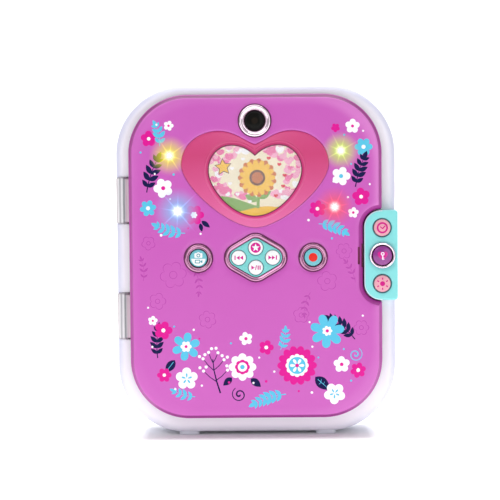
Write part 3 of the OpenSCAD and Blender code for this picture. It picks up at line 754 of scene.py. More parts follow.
def sprig(x, z, L, ang, bend, pairs, leaf_l, leaf_w, stem=.55, tip=True):
    """Curved stem with pairs of pointed leaves."""
    s = np.linspace(0, 1, 12)
    a = np.radians(ang + bend * s)
    pts = np.c_[x + np.cumsum(np.r_[0, np.cos(a[:-1])]) * L / 11, z + np.cumsum(np.r_[0, np.sin(a[:-1])]) * L / 11]
    out = [band(pts, stem, stem * .45)]
    for i in range(pairs):
        k = .16 + .8 * i / max(pairs - 1, 1)
        j = k * 11
        j0 = int(min(j, 10))
        q = pts[j0] + (pts[j0 + 1] - pts[j0]) * (j - j0)
        d = ang + bend * k
        g = 1 - .35 * abs(k - .45) / .55
        for side in (1, -1):
            out.append(leaf(q[0], q[1], leaf_l * g, leaf_w * g, d + side * 48))
    if tip:
        out.append(leaf(pts[-1][0], pts[-1][1], leaf_l * .85, leaf_w * .9, ang + bend))
    return out


def swirl(x, z, r0, turns, start, w, hand=1):
    t = np.linspace(0, 1, int(26 * turns))
    a = np.radians(start) + hand * t * turns * 2 * math.pi
    r = r0 * (1 - t) ** .9 + .25
    return band(np.c_[x + r * np.cos(a), z + r * np.sin(a)], w * .45, w)


def dot(x, z, r, n=14):
    return circle(CX + x, CZ + z, r, n)


WHITE, SKY, PINK, NAVY, RELIEF_SHADE = 1, 2, 3, 4, 5
PRINT = []


def ink(k, *paths):
    for p in paths:
        if isinstance(p, list):
            ink(k, *p)
        else:
            PRINT.append((p, k))


# painted shade standing in for outlines raised in the cover's own colour: they are drawn flat in a darker, glossier
# pink
for x, z, R, n, rot in ((-44, -9, 7.2, 6, 10), (-52.5, -23, 4.6, 5, 0), (38, -13, 5.4, 5, 30), (56, -38, 4.2, 6, 0),
                        (-57, 8, 3.8, 5, 50), (24, -31, 4.4, 5, 15), (-26, -33, 4.8, 6, 40), (47, 3, 4.4, 6, 5)):
    ink(RELIEF_SHADE, bloom(x, z, R, n, .3, .7, rot))
    ink(0, bloom(x, z, R - .38, n, .3, .7, rot))
    ink(RELIEF_SHADE, circle(CX + x, CZ + z, R * .3, 20))
    ink(0, circle(CX + x, CZ + z, R * .3 - .34, 20))
for x, z, L, ang, bend in ((-33, -6, 13, -60, -40), (29, -19, 12, 235, 40), (53, -14, 12, 100, 30), (-60, -12, 11, 80, 30)):
    ink(RELIEF_SHADE, sprig(x, z, L, ang, bend, 4, 3.2, .62, .3))

# upper left
ink(PINK, bloom(-56.2, 63.4, 4.3, 5, .32, .7, 20))
ink(WHITE, dot(-56.2, 63.4, .95), bloom(-45.6, 70.2, 2.7, 5, .36, .7, 0))
ink(PINK, dot(-45.6, 70.2, .65))
ink(SKY, sprig(-50.4, 59.6, 10.5, 84, 34, 4, 4.6, 1.15, .55))
ink(NAVY, sprig(-57.6, 35.0, 18, 80, -18, 5, 6.0, 1.45, .65))
ink(WHITE, bloom(-48.8, 37.2, 5.2, 5, .34, .7, 40))
ink(PINK, dot(-48.8, 37.2, 1.1))
ink(SKY, bloom(-57.0, 26.6, 4.4, 6, .36, .75, 10))
ink(WHITE, dot(-57.0, 26.6, 1.1))
ink(SKY, sprig(-37.4, 13.2, 15, 178, -26, 5, 4.9, 1.2, .55))
ink(PINK, bloom(-32.6, 22.8, 5.4, 6, .3, .8, 0))
ink(WHITE, bloom(-32.6, 22.8, 1.8, 6, .3, .8, 0))
ink(NAVY, leaf(-28.6, 19.6, 5.6, 1.3, -38), leaf(-29.4, 18.4, 4.6, 1.1, -78))
for x, z, r, k in ((-52.0, 70.8, .6, WHITE), (-60.6, 56.2, .6, SKY), (-43.2, 44.4, .7, SKY), (-53.2, 44.8, .55, WHITE),
                   (-50.2, 12.2, .75, WHITE), (-29.2, 12.8, .6, WHITE), (-45.2, 31.4, .5, WHITE), (-35.8, 15.8, .5, PINK)):
    ink(k, dot(x, z, r))

# upper right
ink(WHITE, bloom(51.8, 69.2, 3.9, 5, .34, .7, 15))
ink(PINK, dot(51.8, 69.2, .8), bloom(42.8, 68.4, 2.4, 5, .34, .7, 50))
ink(SKY, bloom(57.6, 58.2, 4.8, 6, .34, .75, 0))
ink(WHITE, dot(57.6, 58.2, 1.1))
ink(NAVY, sprig(53.2, 37.0, 15.5, 80, -14, 5, 5.4, 1.35, .62))
ink(WHITE, bloom(45.6, 42.8, 5.0, 5, .34, .7, 0))
ink(SKY, dot(45.6, 42.8, 1.1))
ink(PINK, bloom(56.2, 31.8, 4.8, 5, .32, .7, 25))
ink(WHITE, dot(56.2, 31.8, 1.0))
ink(WHITE, bloom(52.0, 23.4, 2.9, 5, .36, .7, 10))
ink(PINK, dot(52.0, 23.4, .7))
ink(SKY, sprig(33.6, 17.6, 14, -4, -30, 5, 4.8, 1.2, .55))
ink(PINK, bloom(33.0, 25.6, 4.5, 6, .3, .8, 20))
ink(WHITE, dot(33.0, 25.6, 1.0))
for x, z, r, k in ((47.4, 64.6, .6, SKY), (57.4, 66.6, .55, WHITE), (41.6, 40.0, .6, WHITE), (51.0, 49.2, .55, SKY),
                   (60.8, 38.4, .55, WHITE), (49.2, 31.6, .6, WHITE), (28.2, 19.6, .7, WHITE), (40.6, 9.8, .6, SKY)):
    ink(k, dot(x, z, r))

# along the bottom
ink(NAVY, sprig(52.6, -44.2, 17, 128, 26, 6, 5.6, 1.3, .6))
ink(SKY, petals(37.8, -39.6, 9.2, 7, 2.9, 8))
ink(WHITE, bloom(37.8, -39.6, 2.7, 7, .28, .8, 0))
ink(PINK, dot(37.8, -39.6, .9))
ink(SKY, swirl(52.8, -52.4, 3.6, 1.6, 60, .8, -1))
ink(PINK, bloom(54.2, -60.8, 4.2, 6, .3, .8, 15))
ink(WHITE, dot(54.2, -60.8, 1.0))
ink(WHITE, bloom(45.4, -57.6, 4.4, 5, .34, .7, 20))
ink(PINK, dot(45.4, -57.6, 1.0))
ink(SKY, sprig(12.8, -49.4, 10, 60, 30, 4, 4.2, 1.0, .5))
ink(PINK, bloom(21.6, -58.0, 10.6, 14, .16, .8, 0, 8))
ink(WHITE, bloom(21.6, -58.0, 6.2, 12, .12, .8, 0, 6))
ink(SKY, dot(21.6, -58.0, 4.6, 28))
ink(WHITE, petals(21.6, -58.0, 3.8, 6, .95, 0, .25))
ink(PINK, dot(21.6, -58.0, 1.0))
ink(NAVY, leaf(31.2, -64.2, 10.6, 3.0, -42))
ink(SKY, band([(32.6, -65.5), (35, -67.7), (37.4, -69.8)], .35, .2), band([(34.2, -67.0), (34.6, -65.4)], .3, .15),
    band([(35.6, -68.2), (36.3, -66.8)], .3, .15), band([(34.4, -67.1), (33.2, -68.2)], .3, .15))
ink(WHITE, bloom(41.6, -73.2, 5.8, 5, .34, .7, 50))
ink(SKY, petals(41.6, -73.2, 2.7, 5, .55, 50, .2))
ink(PINK, bloom(5.2, -48.2, 4.0, 5, .34, .7, 0))
ink(WHITE, dot(5.2, -48.2, 1.0), bloom(-5.6, -43.4, 3.6, 5, .36, .7, 30))
ink(PINK, dot(-5.6, -43.4, .9))
ink(SKY, sprig(15.6, -73.4, 17, 186, 22, 6, 5.2, 1.25, .6))
# berry twig
TWIG = ((-19.5, -72.5), (-21.4, -66.4), (-22.8, -60.4), (-23.4, -54.2))
ink(NAVY, band(TWIG, .9, .45))
for x0, z0, x1, z1 in ((-21.4, -66.4, -28.4, -60.6), (-21.6, -65.6, -15.6, -60.2), (-22.8, -60.4, -28.6, -54.0),
                       (-22.9, -60.2, -17.4, -54.6), (-23.3, -56.2, -25.6, -50.6), (-23.3, -56.2, -20.6, -50.8)):
    ink(NAVY, band([(x0, z0), ((x0 + x1) / 2, (z0 + z1) / 2 - .5), (x1, z1)], .5, .35))
for x, z in ((-28.4, -60.6), (-30.3, -58.8), (-27.0, -58.4), (-15.6, -60.2), (-13.6, -58.8), (-15.9, -57.9),
             (-28.6, -54.0), (-30.5, -52.8), (-27.6, -51.8), (-17.4, -54.6), (-15.6, -53.2), (-18.4, -52.4),
             (-25.6, -50.6), (-24.0, -48.6), (-20.6, -50.8), (-21.6, -48.4)):
    ink(WHITE, dot(x, z, .85, 12))
ink(NAVY, leaf(-3.2, -64.8, 7.0, 2.0, -40), leaf(-13.2, -64.2, 6.4, 1.8, 222))
ink(WHITE, bloom(-7.6, -58.6, 7.4, 8, .22, .8, 0))
ink(PINK, bloom(-7.6, -58.6, 4.0, 8, .12, .8, 0, 6))
ink(WHITE, dot(-7.6, -58.6, 2.5, 18))
ink(SKY, dot(-7.6, -58.6, 1.2))
ink(NAVY, swirl(-9.4, -73.4, 3.8, 1.6, 120, 1.0, 1))
ink(SKY, petals(-37.6, -47.4, 7.6, 6, 2.6, 20))
ink(WHITE, bloom(-37.6, -47.4, 3.0, 6, .3, .8, 0))
ink(PINK, dot(-37.6, -47.4, .8))
ink(NAVY, sprig(-52.8, -53.4, 15, 96, -16, 5, 5.2, 1.25, .6))
ink(PINK, bloom(-49.6, -38.6, 4.9, 5, .32, .7, 0))
ink(WHITE, dot(-49.6, -38.6, 1.1))
ink(NAVY, leaf(-43.6, -54.6, 8.4, 2.3, 232))
ink(SKY, band([(-44.4, -55.6), (-46.4, -58.2), (-48.0, -60.2)], .35, .2))
ink(WHITE, bloom(-55.2, -33.4, 2.6, 5, .36, .7, 10), bloom(-37.4, -64.6, 6.0, 5, .34, .7, 18))
ink(SKY, petals(-37.4, -64.6, 2.9, 5, .6, 18, .2))
ink(PINK, bloom(-49.4, -62.6, 3.9, 6, .3, .8, 0), dot(-55.2, -33.4, .6))
ink(WHITE, dot(-49.4, -62.6, .9))
ink(SKY, sprig(-33.0, -74.4, 11, 176, -24, 4, 4.2, .95, .5))
for x, z, r, k in ((29.8, -48.0, .6, WHITE), (46.6, -49.4, .55, SKY), (33.0, -53.8, .5, SKY), (12.2, -46.6, .6, SKY),
                   (1.4, -53.6, .55, WHITE), (9.4, -61.2, .6, WHITE), (5.0, -66.4, .75, PINK), (29.4, -72.6, .7, WHITE),
                   (22.4, -71.8, .6, PINK), (-1.8, -67.2, .6, WHITE), (-14.8, -66.8, .65, PINK), (-29.4, -68.4, .6, WHITE),
                   (-13.6, -45.8, .6, SKY), (-33.4, -38.4, .65, WHITE), (-43.8, -36.6, .55, SKY), (-55.6, -47.4, .6, WHITE),
                   (-30.4, -43.2, .5, PINK), (-57.6, -26.4, .55, WHITE), (56.8, -31.6, .6, WHITE), (50.4, -66.4, .6, SKY),
                   (54.2, -60.2, .55, WHITE), (-43.6, -70.2, .6, WHITE), (28.4, -34.8, .55, WHITE)):
    ink(k, dot(x, z, r))

SAFE = cover_path(4.5)


def keep_in(p):
    out = ~inside(SAFE, p)
    if out.any():
        p = p.copy()
        d = ((p[out][:, None, :] - SAFE[None]) ** 2).sum(2)
        p[out] = SAFE[d.argmin(1)]
    return p


PRINT = [(keep_in(p), k) for p, k in PRINT]
# painted shade: a dark ring on the face round each chrome ring
PRINT += [(circle(CX + PHOTO[0], CZ + PHOTO[1], 7.95, 64), 9), (circle(CX + RECORD[0], CZ + RECORD[1], 7.95, 64), 9), (pad_path(8.0), 9),
          (circle(CX, CZ + CAMERA[1], 9.0, 72), 9)]

# ------------------------------------------------------------------ cover


def rings_of(path_of, profile):
    return [(path_of(t), y) for t, y in profile]


def hole(shape, path_of, y_front, y_back_, lip=.15, mat=0):
    """Wall of a through hole; path_of(g) grows the hole. Returns (front loop, back loop)."""
    a, b = path_of(lip), path_of(0)
    ya = y_front(a) if callable(y_front) else y_front
    yb = np.asarray(ya) + lip
    shape.loft([(a, ya), (b, yb), (b, y_back_)], mat)
    return a, b


def make_cover():
    s = Shape()
    prof = [(2.2, Y_CI), (2.2, Y_CB + .1), (2.1, Y_CB), (.15, Y_CB), (0, Y_CB - .15), (.3, -13.6), (.7, -17.3), (.78, -17.55),
            (.95, -17.8), (1.4, -18.36), (1.86, -18.92), (2.02, -19.14), (2.14, -19.4), (2.28, -19.68), (2.5, -19.95), (2.85, -20.18),
            (3.25, -20.34), (T_FACE, FACE0)]
    s.loft(rings_of(cover_path, prof[:3]))
    # painted shade on the side wall (material 6) and the sloped band (material 7)
    s.loft(rings_of(cover_path, prof[2:9]), 6)
    s.loft(rings_of(cover_path, prof[8:15]), 7)
    s.loft(rings_of(cover_path, prof[14:]))
    loops_f, loops_b = [cover_path(T_FACE)], [cover_path(2.2)]
    for at, r in ((CAMERA, 6.5), (PHOTO, 6.0), (RECORD, 6.0)):
        x, z = C(*at)
        f, b = hole(s, lambda g: circle(x, z, r + g, 48), face_y, Y_CI)
        loops_f.append(f)
        loops_b.append(b)
    for at in (STAR, PLAY, PREV, NEXT):
        x, z = C(*at)
        f, b = hole(s, lambda g: circle(x, z, 4.1 + g, 32), face_y, Y_CI, .05)
        loops_f.append(f)
        loops_b.append(b)
    for at in LEDS:
        x, z = C(*at)
        f, b = hole(s, lambda g: circle(x, z, 1.62 + g, 24), face_y, Y_CI, .12)
        loops_f.append(f)
        loops_b.append(b)
    # sunken heart
    h = [heart_grow(FRAME, g) for g in (1.1, .75, .4, .15, .02)]
    y0 = face_y(h[0])
    s.loft([(h[0], y0), (h[1], face_y(h[1]) + .05), (h[2], face_y(h[2]) + .17), (h[3], face_y(h[3]) + .38), (h[4], -20.0),
            (h[4], -19.3)])
    w = heart_grow(WINDOW, .3)
    s.loft([(h[4], -19.3), (w, -19.3), (w, Y_CI)])
    loops_f.append(h[0])
    loops_b.append(w)
    helper = []
    for at, rs in ((CAMERA, (8.9, 9.7, 10.5, 11.4, 12.2)), (PHOTO, (7.6, 8.1, 8.6, 9.1, 9.6)), (RECORD, (7.6, 8.1, 8.6, 9.1, 9.6))):
        x, z = C(*at)
        helper += [(circle(x, z, r, 56), 0) for r in rs]
    helper += [(pad_path(7.6 + g), 0) for g in (0, .5, 1.0, 1.5, 2.1)]
    helper = [(p, k) for p, k in helper if inside(cover_path(T_FACE + .3), p).all()]
    helper = [(p, k) for p, k in helper if not inside(heart_grow(FRAME, 1.5), p).any()]
    s.fill(loops_f, face_y, 2.2, 0, classes=helper + PRINT)
    s.fill(loops_b, Y_CI, 6.0)
    cut = Shape()
    for z in HINGE_Z:
        cut.box(-71.5, -65.5, -12.45, -10.0, z - 11.6, z + 11.6)
    cut.box(52.5, 58.5, -15.1, -12.1, CZ + .45 - 6.25, CZ + .45 + 6.25)
    # the notch and the bolt's slot carry painted shade (material 8)
    notch = Shape().box(55.6, 58.5, -21, -17.0, CZ + .45 - 6.25, CZ + .45 + 6.25, 8)
    cut2 = Shape().block(lambda t: rr(54.15, CZ + .45, 1.2 - 2 * t, 9.4 - 2 * t, .5 - t, 5, 2), -21, -19.05, mat=8)
    cuts = [cutter(c, COVER_MATS) for c in (cut, cut2, notch)]
    o = build("cover_face", s, COVER_MATS, "cover", ("cover_shell",), 28, cutters=[(c, "DIFFERENCE") for c in cuts])
    drop(*cuts)
    return o


COVER_MATS = [
    cover_mat("cover_magenta", srgb(193, 80, 179), srgb(212, 121, 199)),
    cover_mat("print_white", srgb(244, 242, 248), srgb(246, 244, 250), .34, drift=.01, spec=.3, coat=0),
    cover_mat("print_sky", srgb(84, 190, 222), srgb(100, 200, 228), .34, drift=.02, spec=.3, coat=0),
    cover_mat("print_pink", srgb(216, 16, 144), srgb(224, 28, 152), .34, drift=.02, spec=.2, coat=0),
    cover_mat("print_navy", srgb(16, 20, 70), srgb(24, 28, 80), .42, drift=.02, spec=.12, coat=0),
    # painted shade: darker pink of the flat outlines that stand in for raised ones
    cover_mat("relief_outline_shade", srgb(178, 58, 164), srgb(206, 112, 196), .22),
    # painted shade: the side wall darkens towards the base
    edge_mat("cover_side_shade", [(0, srgb(184, 74, 166)), (.45, srgb(168, 62, 150)), (.8, srgb(124, 42, 106)), (1, srgb(84, 26, 72))], 1,
             -.0178, -.0103),
    # painted shade: the sloped band is darker than the face, most at the top and then at the bottom
    edge_mat("cover_shaded_band", [(0, srgb(146, 50, 130)), (.14, srgb(158, 54, 142)), (.55, srgb(168, 58, 150)), (.86, srgb(150, 50, 132)), (1, srgb(132, 40, 114))], 2, .012, .184),
    # painted shade inside the latch notch and slot
    edge_mat("notch_shade", [(0, srgb(112, 20, 66)), (1, srgb(132, 34, 92))], 2, .09, .105),
    # painted shade round the chrome rings
    edge_mat("ring_shade", [(0, srgb(122, 40, 104)), (1, srgb(104, 30, 86))], 2, .09, .175)]
make_cover()


def heart_mat():
    m, nt, p = new_mat("heart_pink")
    vec = coords(nt)
    sep = nt.nodes.new("ShaderNodeSeparateXYZ")
    nt.links.new(vec, sep.inputs[0])
    up = span(nt, sep.outputs[2], (CZ + 16) * .001, (CZ + 67) * .001, 0, 1)
    big = noise(nt, vec, 25, 2)
    fac = maths(nt, "ADD", up, maths(nt, "MULTIPLY", maths(nt, "SUBTRACT", big, .5), .12), clamp=True)
    col = ramp(nt, fac, [(0, srgb(226, 108, 166)), (.35, srgb(212, 82, 142)), (.75, srgb(196, 52, 112)), (1, srgb(200, 56, 120))])
    nt.links.new(col, p.inputs["Base Color"])
    nt.links.new(span(nt, noise(nt, vec, 45, 2), .3, .7, .3, .36), p.inputs["Roughness"])
    p.inputs["Coat Weight"].default_value = .3
    p.inputs["Coat Roughness"].default_value = .15
    return m


def blend_path(a, b, t):
    return a * (1 - t) + b * t


s = Shape()
A, B = heart_grow(FRAME, -.12), heart_grow(WINDOW, 0)
R1, R2 = heart_grow(WINDOW, 2.6), heart_grow(WINDOW, 1.9)
ring = [(A, -19.32), (A, -19.85), (heart_grow(FRAME, -.3), -20.0), (heart_grow(FRAME, -.7), -20.05)]
for t in np.linspace(.12, .94, 10):
    ring.append((blend_path(heart_grow(FRAME, -.7), R1, t), -20.05 + .52 * t))
ring += [(R1, -19.5), (blend_path(R1, R2, .35), -19.68), (blend_path(R1, R2, .7), -19.72), (R2, -19.6),
         (heart_grow(WINDOW, 1.5), -19.5)]
s.loft(ring)
s.loft([(heart_grow(WINDOW, 1.5), -19.5), (heart_grow(WINDOW, .62), -19.46)], 2)
# painted shade: the lip round the window is dark
s.loft([(heart_grow(WINDOW, .62), -19.46), (heart_grow(WINDOW, .2), -19.3), (B, -19.1), (B, -18.35), (heart_grow(WINDOW, .28), -18.35)], 1)
s.loft([(heart_grow(WINDOW, .28), -18.35), (heart_grow(WINDOW, .28), -19.32), (A, -19.32)])
build("heart_frame", s, [heart_mat(), edge_mat("heart_lip_shade", [(0, srgb(120, 34, 74)), (1, srgb(92, 24, 60))], 2, .118, .162),
                         edge_mat("heart_rim", [(0, srgb(206, 58, 124)), (1, srgb(176, 34, 96))], 2, .118, .162)], "cover",
      ("heart_bezel",), 40)

MAT_CLEAR = plastic("window_clear", srgb(238, 244, 255), .06, .0, .02, 0, alpha=.05, spec=.15)
s = Shape().block(lambda t: rr(CX + SCREEN[0], CZ + SCREEN[1], 56 - 2 * t, 44 - 2 * t, 5 - t), -18.3, -16.8, .12, .12, 2)
build("heart_pane", s, [MAT_CLEAR], "cover", ("heart_window",))

# ------------------------------------------------------------------ chrome rings


def chrome_mat(name, a, b, rough=.1):
    m, nt, p = new_mat(name)
    vec = coords(nt)
    big = noise(nt, vec, 110, 3)
    nt.links.new(ramp(nt, big, [(.3, a), (.7, b)]), p.inputs["Base Color"])
    nt.links.new(span(nt, noise(nt, vec, 300, 2), .3, .7, rough - .03, rough + .04), p.inputs["Roughness"])
    p.inputs["Metallic"].default_value = 1.0
    return m


MAT_CHROME = chrome_mat("chrome_pink", srgb(180, 124, 160), srgb(200, 146, 178))
MAT_CHROME_PALE = chrome_mat("chrome_pale", srgb(242, 218, 234), srgb(252, 234, 246), .14)
# painted shade and painted reflection: the dark segments at the chrome rings' edges and groove
MAT_CHROME_DARK = chrome_mat("chrome_shade", srgb(84, 34, 66), srgb(104, 46, 82), .3)


# dark lists the profile segments that get the painted shade of chrome_shade
def ring_piece(name, at, prof, node, body="cover", n=96, dark=(), pale=False):
    x, z = at
    own = [(i, 1) for i in dark]
    return build(name, Shape().lathe(x, z, prof + [prof[0]], n, own=own), [MAT_CHROME_PALE if pale else MAT_CHROME, MAT_CHROME_DARK],
                 body, (node,), 30)


BUTTON_RING = [(4.95, -18.35), (4.95, -20.7), (5.05, -20.95), (5.25, -21.1), (5.5, -21.14), (5.68, -21.08), (5.78, -21.0),
               (5.9, -21.1), (6.15, -21.3), (6.5, -21.39), (6.85, -21.35), (7.15, -21.16), (7.36, -20.88), (7.46, -20.55),
               (7.48, -20.2), (6.05, -20.2), (5.95, -20.1), (5.95, -18.35)]
ring_piece("photo_chrome", C(*PHOTO), BUTTON_RING, "photo_ring", dark=(0, 1, 2, 6, 11, 12, 13, 14))
ring_piece("record_chrome", C(*RECORD), BUTTON_RING, "record_ring", dark=(0, 1, 2, 6, 11, 12, 13, 14))
CAM_RING = [(5.48, -18.35), (5.48, -20.75), (5.6, -20.95), (5.85, -21.05), (6.15, -21.04), (6.35, -20.9), (6.5, -20.78), (6.68, -20.82),
            (6.9, -21.02), (7.2, -21.25), (7.6, -21.38), (8.0, -21.34), (8.3, -21.14), (8.52, -20.86), (8.64, -20.5), (8.66, -20.15),
            (6.55, -20.15), (6.45, -20.05), (6.45, -18.35)]
ring_piece("camera_chrome", C(*CAMERA), CAM_RING, "camera_ring", dark=(0, 1, 2, 12, 13, 14), pale=True)
LOCK_RING = [(5.5, -17.75), (5.5, -20.5), (5.62, -20.75), (5.85, -20.92), (6.1, -21.12), (6.35, -21.18), (6.55, -21.1), (6.75, -20.85),
             (6.87, -20.5), (6.88, -19.7), (6.88, -19.52), (6.08, -19.52), (6.05, -19.4), (6.05, -17.75)]
ring_piece("lock_chrome", (LOCK_X, LOCK_Z), LOCK_RING, "lock_ring", "base", dark=(0, 1, 2, 8), pale=True)

s = Shape()
prof = [(5.0, -20.25), (5.0, -20.95), (5.1, -21.12), (5.35, -21.2), (5.6, -21.16), (5.78, -21.05), (5.95, -21.14), (6.25, -21.32),
        (6.6, -21.38), (6.95, -21.28), (7.22, -21.05), (7.4, -20.75), (7.5, -20.45), (7.52, -20.25), (5.0, -20.25)]
# painted shade on the inner and outer edges of the pad's chrome ring
s.loft([(pad_path(r), y) for r, y in prof[:4]], 1)
s.loft([(pad_path(r), y) for r, y in prof[3:11]])
s.loft([(pad_path(r), y) for r, y in prof[10:]], 1)
build("pad_chrome", s, [MAT_CHROME, MAT_CHROME_DARK], "cover", ("pad_bezel",), 30)

# camera window: black glass in a dark sleeve
MAT_LENS = [plastic("lens_black", (.004, .004, .0035), .08, .0, .25, 0, spec=.12),
            plastic("lens_sleeve", (.007, .006, .007), .38, 0, .2, .1, spec=.1),
            plastic("lens_centre", (.01, .007, .005), .1, 0, .4, 0, spec=.16)]
x, z = C(*CAMERA)
s = Shape().lathe(x, z, [(0, -18.95), (5.42, -18.95), (5.42, -20.4), (5.3, -20.55), (5.0, -20.6), (4.55, -20.5), (4.4, -20.42)], 64, 1)
s.lathe(x, z, [(4.4, -20.42), (4.1, -20.52), (3.4, -20.66), (2.4, -20.78), (1.7, -20.83)], 64, 0)
s.lathe(x, z, [(1.7, -20.83), (1.0, -20.86), (0, -20.88)], 64, 2)
build("camera_glass", s, MAT_LENS, "cover", ("camera_window",), 50)

# ------------------------------------------------------------------ buttons of the cover


def cap(name, node, at, d, y_edge, rise, body, mats, art=(), flange=None, stem=4.0, edge=.35, centre=None,
        back_y=None, y_flange=None):
    """Domed round cap with printed art on its face, a flange behind and a stem."""
    x, z = at if centre is None else centre
    r = d / 2
    y_top = y_edge - rise
    rf = flange
    s = Shape()
    yb = back_y
    y1, y2 = y_flange
    prof = [(r, y_edge + edge * .9), (r, y1), (rf, y1), (rf, y2), (stem / 2, y2), (stem / 2, yb), (0, yb)]
    s.lathe(x, z, prof, 48)

    def dome(p):
        q = np.hypot(p[:, 0] - x, p[:, 1] - z)
        k = np.clip(q / r, 0, 1)
        y = y_top + rise * .82 * k ** 2
        e = np.clip((q - (r - edge)) / edge, 0, 1)
        return y + (1 - np.sqrt(np.clip(1 - e ** 2, 0, 1))) * edge * .9 + rise * .0 * e

    rim = circle(x, z, r, 48)
    s.fill([rim], lambda p: np.where(np.hypot(p[:, 0] - x, p[:, 1] - z) > r - 1e-4, y_edge + edge * .9, dome(p)), .55, 0,
           classes=[(circle(x, z, r - edge * k, 48), 0) for k in (.25, .55, 1.0)] + list(art))
    return build(name, s, mats, body, (node,), 35)


def poly(pts, x, z):
    return np.array(pts, float) + (x, z)


def rounded(x, z, w, h, r, n=4):
    return rr(x, z, w, h, r, n, 1)


MAT_AQUA_CAP = plastic("cap_aqua", srgb(106, 184, 196), .3, .2, .04, 0)
MAT_CAP_WHITE = plastic("cap_white", srgb(236, 238, 240), .3, .2, .02, 0)
MAT_SIGN_PINK = plastic("sign_pink", srgb(206, 26, 140), .4, 0, .05, 0, spec=.2)
MAT_SIGN_RED = plastic("sign_red", srgb(222, 34, 20), .3, .1, .05, 0, spec=.3)
MAT_SIGN_TEAL = plastic("sign_teal", srgb(62, 146, 160), .4, 0, .05, 0, spec=.2)

# photo / film button
x, z = C(*PHOTO)
half = np.vstack([arc(x, z - .25, 3.75, 180, 360, 24)])
film = rounded(x - .45, z - 1.75, 2.9, 1.9, .35)
film_horn = poly([(1.1, -1.75 + .15), (2.1, -1.75 + .9), (2.1, -1.75 - .9), (1.1, -1.75 - .15)], x, z)
body_ = rounded(x, z + 1.5, 4.3, 2.5, .5)
hump = poly([(-.85, 2.5), (-.55, 3.25), (.55, 3.25), (.85, 2.5)], x, z)
art = [(half, 1), (body_, 1), (hump, 1), (circle(x, z + 1.5, 1.0, 18), 2), (circle(x, z + 1.5, .6, 14), 1),
       (film, 2), (rounded(x - .45, z - 1.75, 2.0, 1.05, .2), 1), (film_horn, 2)]
cap("photo_cap", "photo_button", (x, z), 9.2, -20.8, .4, "photo_button", [MAT_AQUA_CAP, MAT_CAP_WHITE, MAT_SIGN_TEAL],
    art, 5.7, 4, back_y=-10.5, y_flange=(-18.0, -17.0))
x, z = C(*RECORD)
cap("record_cap", "record_button", (x, z), 9.2, -20.8, .4, "record_button", [MAT_AQUA_CAP, MAT_SIGN_RED],
    [(circle(x, z, 2.35, 32), 1)], 5.7, 4, back_y=-10.5, y_flange=(-18.0, -17.0))


def star_path(x, z, R, r, n=5, rot=90):
    t = np.radians(rot + np.arange(2 * n) * 180 / n)
    q = np.where(np.arange(2 * n) % 2 == 0, R, r)
    return np.c_[x + q * np.cos(t), z + q * np.sin(t)]


def tri(x, z, s_, right=True):
    k = 1 if right else -1
    return poly([(-k * s_ * .5, s_ * .72), (k * s_ * .62, 0), (-k * s_ * .5, -s_ * .72)], x, z)


for nm, at, signs in (
        ("star", STAR, lambda x, z: [(circle(x, z, 2.75, 30), 1), (star_path(x, z, 2.15, .95), 0)]),
        ("previous", PREV, lambda x, z: [(tri(x + 1.55, z, 1.6, False), 1), (tri(x - .3, z, 1.6, False), 1),
                                         (rounded(x - 1.95, z, .62, 2.3, .1, 2), 1)]),
        ("next", NEXT, lambda x, z: [(tri(x - 1.55, z, 1.6), 1), (tri(x + .3, z, 1.6), 1),
                                     (rounded(x + 1.95, z, .62, 2.3, .1, 2), 1)]),
        ("play", PLAY, lambda x, z: [(tri(x - 1.6, z, 1.6), 1), (poly([(-.45, -1.25), (.0, -1.25), (.6, 1.25), (.15, 1.25)], x, z), 1),
                                     (rounded(x + 1.25, z, .62, 2.2, .1, 2), 1), (rounded(x + 2.25, z, .62, 2.2, .1, 2), 1)])):
    x, z = C(*at)
    cap(nm + "_cap", nm + "_button", (x, z), 7.7, -21.3, .4, nm + "_button", [MAT_CAP_WHITE, MAT_SIGN_PINK],
        signs(x, z), 4.45, 3.2, back_y=-10.5, y_flange=(-18.0, -17.0))

MAT_AQUA = plastic("aqua", srgb(130, 219, 219), .3, .2, .01, 0, gloss=.015)
# painted shade for recesses: the wells round the pad's caps and the panel buttons' recess walls
MAT_AQUA_SHADE = plastic("aqua_well_shade", srgb(60, 140, 150), .4, 0, .04, 0)
MAT_PLATE = plastic("plate_aqua", srgb(118, 204, 202), .3, .1, .04, 0)
# painted highlight: paler aqua on the lock panel's rounded edge towards the cover
MAT_AQUA_HIGHLIGHT = plastic("aqua_rim_highlight", srgb(206, 236, 240), .3, .2, .03, 0)

# plate of the diamond pad, with a soft well round each cap
s = Shape()
outer = pad_path(4.92)
loops_f, loops_b = [pad_path(4.72)], [outer]
s.loft([(outer, -20.35), (outer, -20.85), (pad_path(4.86), -20.98), (pad_path(4.72), -21.04)])
for at in (STAR, PLAY, PREV, NEXT):
    x, z = C(*at)
    a, b, c = circle(x, z, 4.3, 40), circle(x, z, 4.12, 40), circle(x, z, 4.02, 40)
    # painted shade: the well's wall in dark aqua
    s.loft([(a, -21.04), (b, -20.96), (c, -20.75), (c, -20.35)], 1)
    loops_f.append(a)
    loops_b.append(c)
s.fill(loops_f, -21.04, 1.6)
s.fill(loops_b, -20.35, 3)
build("pad_face", s, [MAT_PLATE, MAT_AQUA_SHADE], "cover", ("pad_plate",), 30)

# ------------------------------------------------------------------ lamps


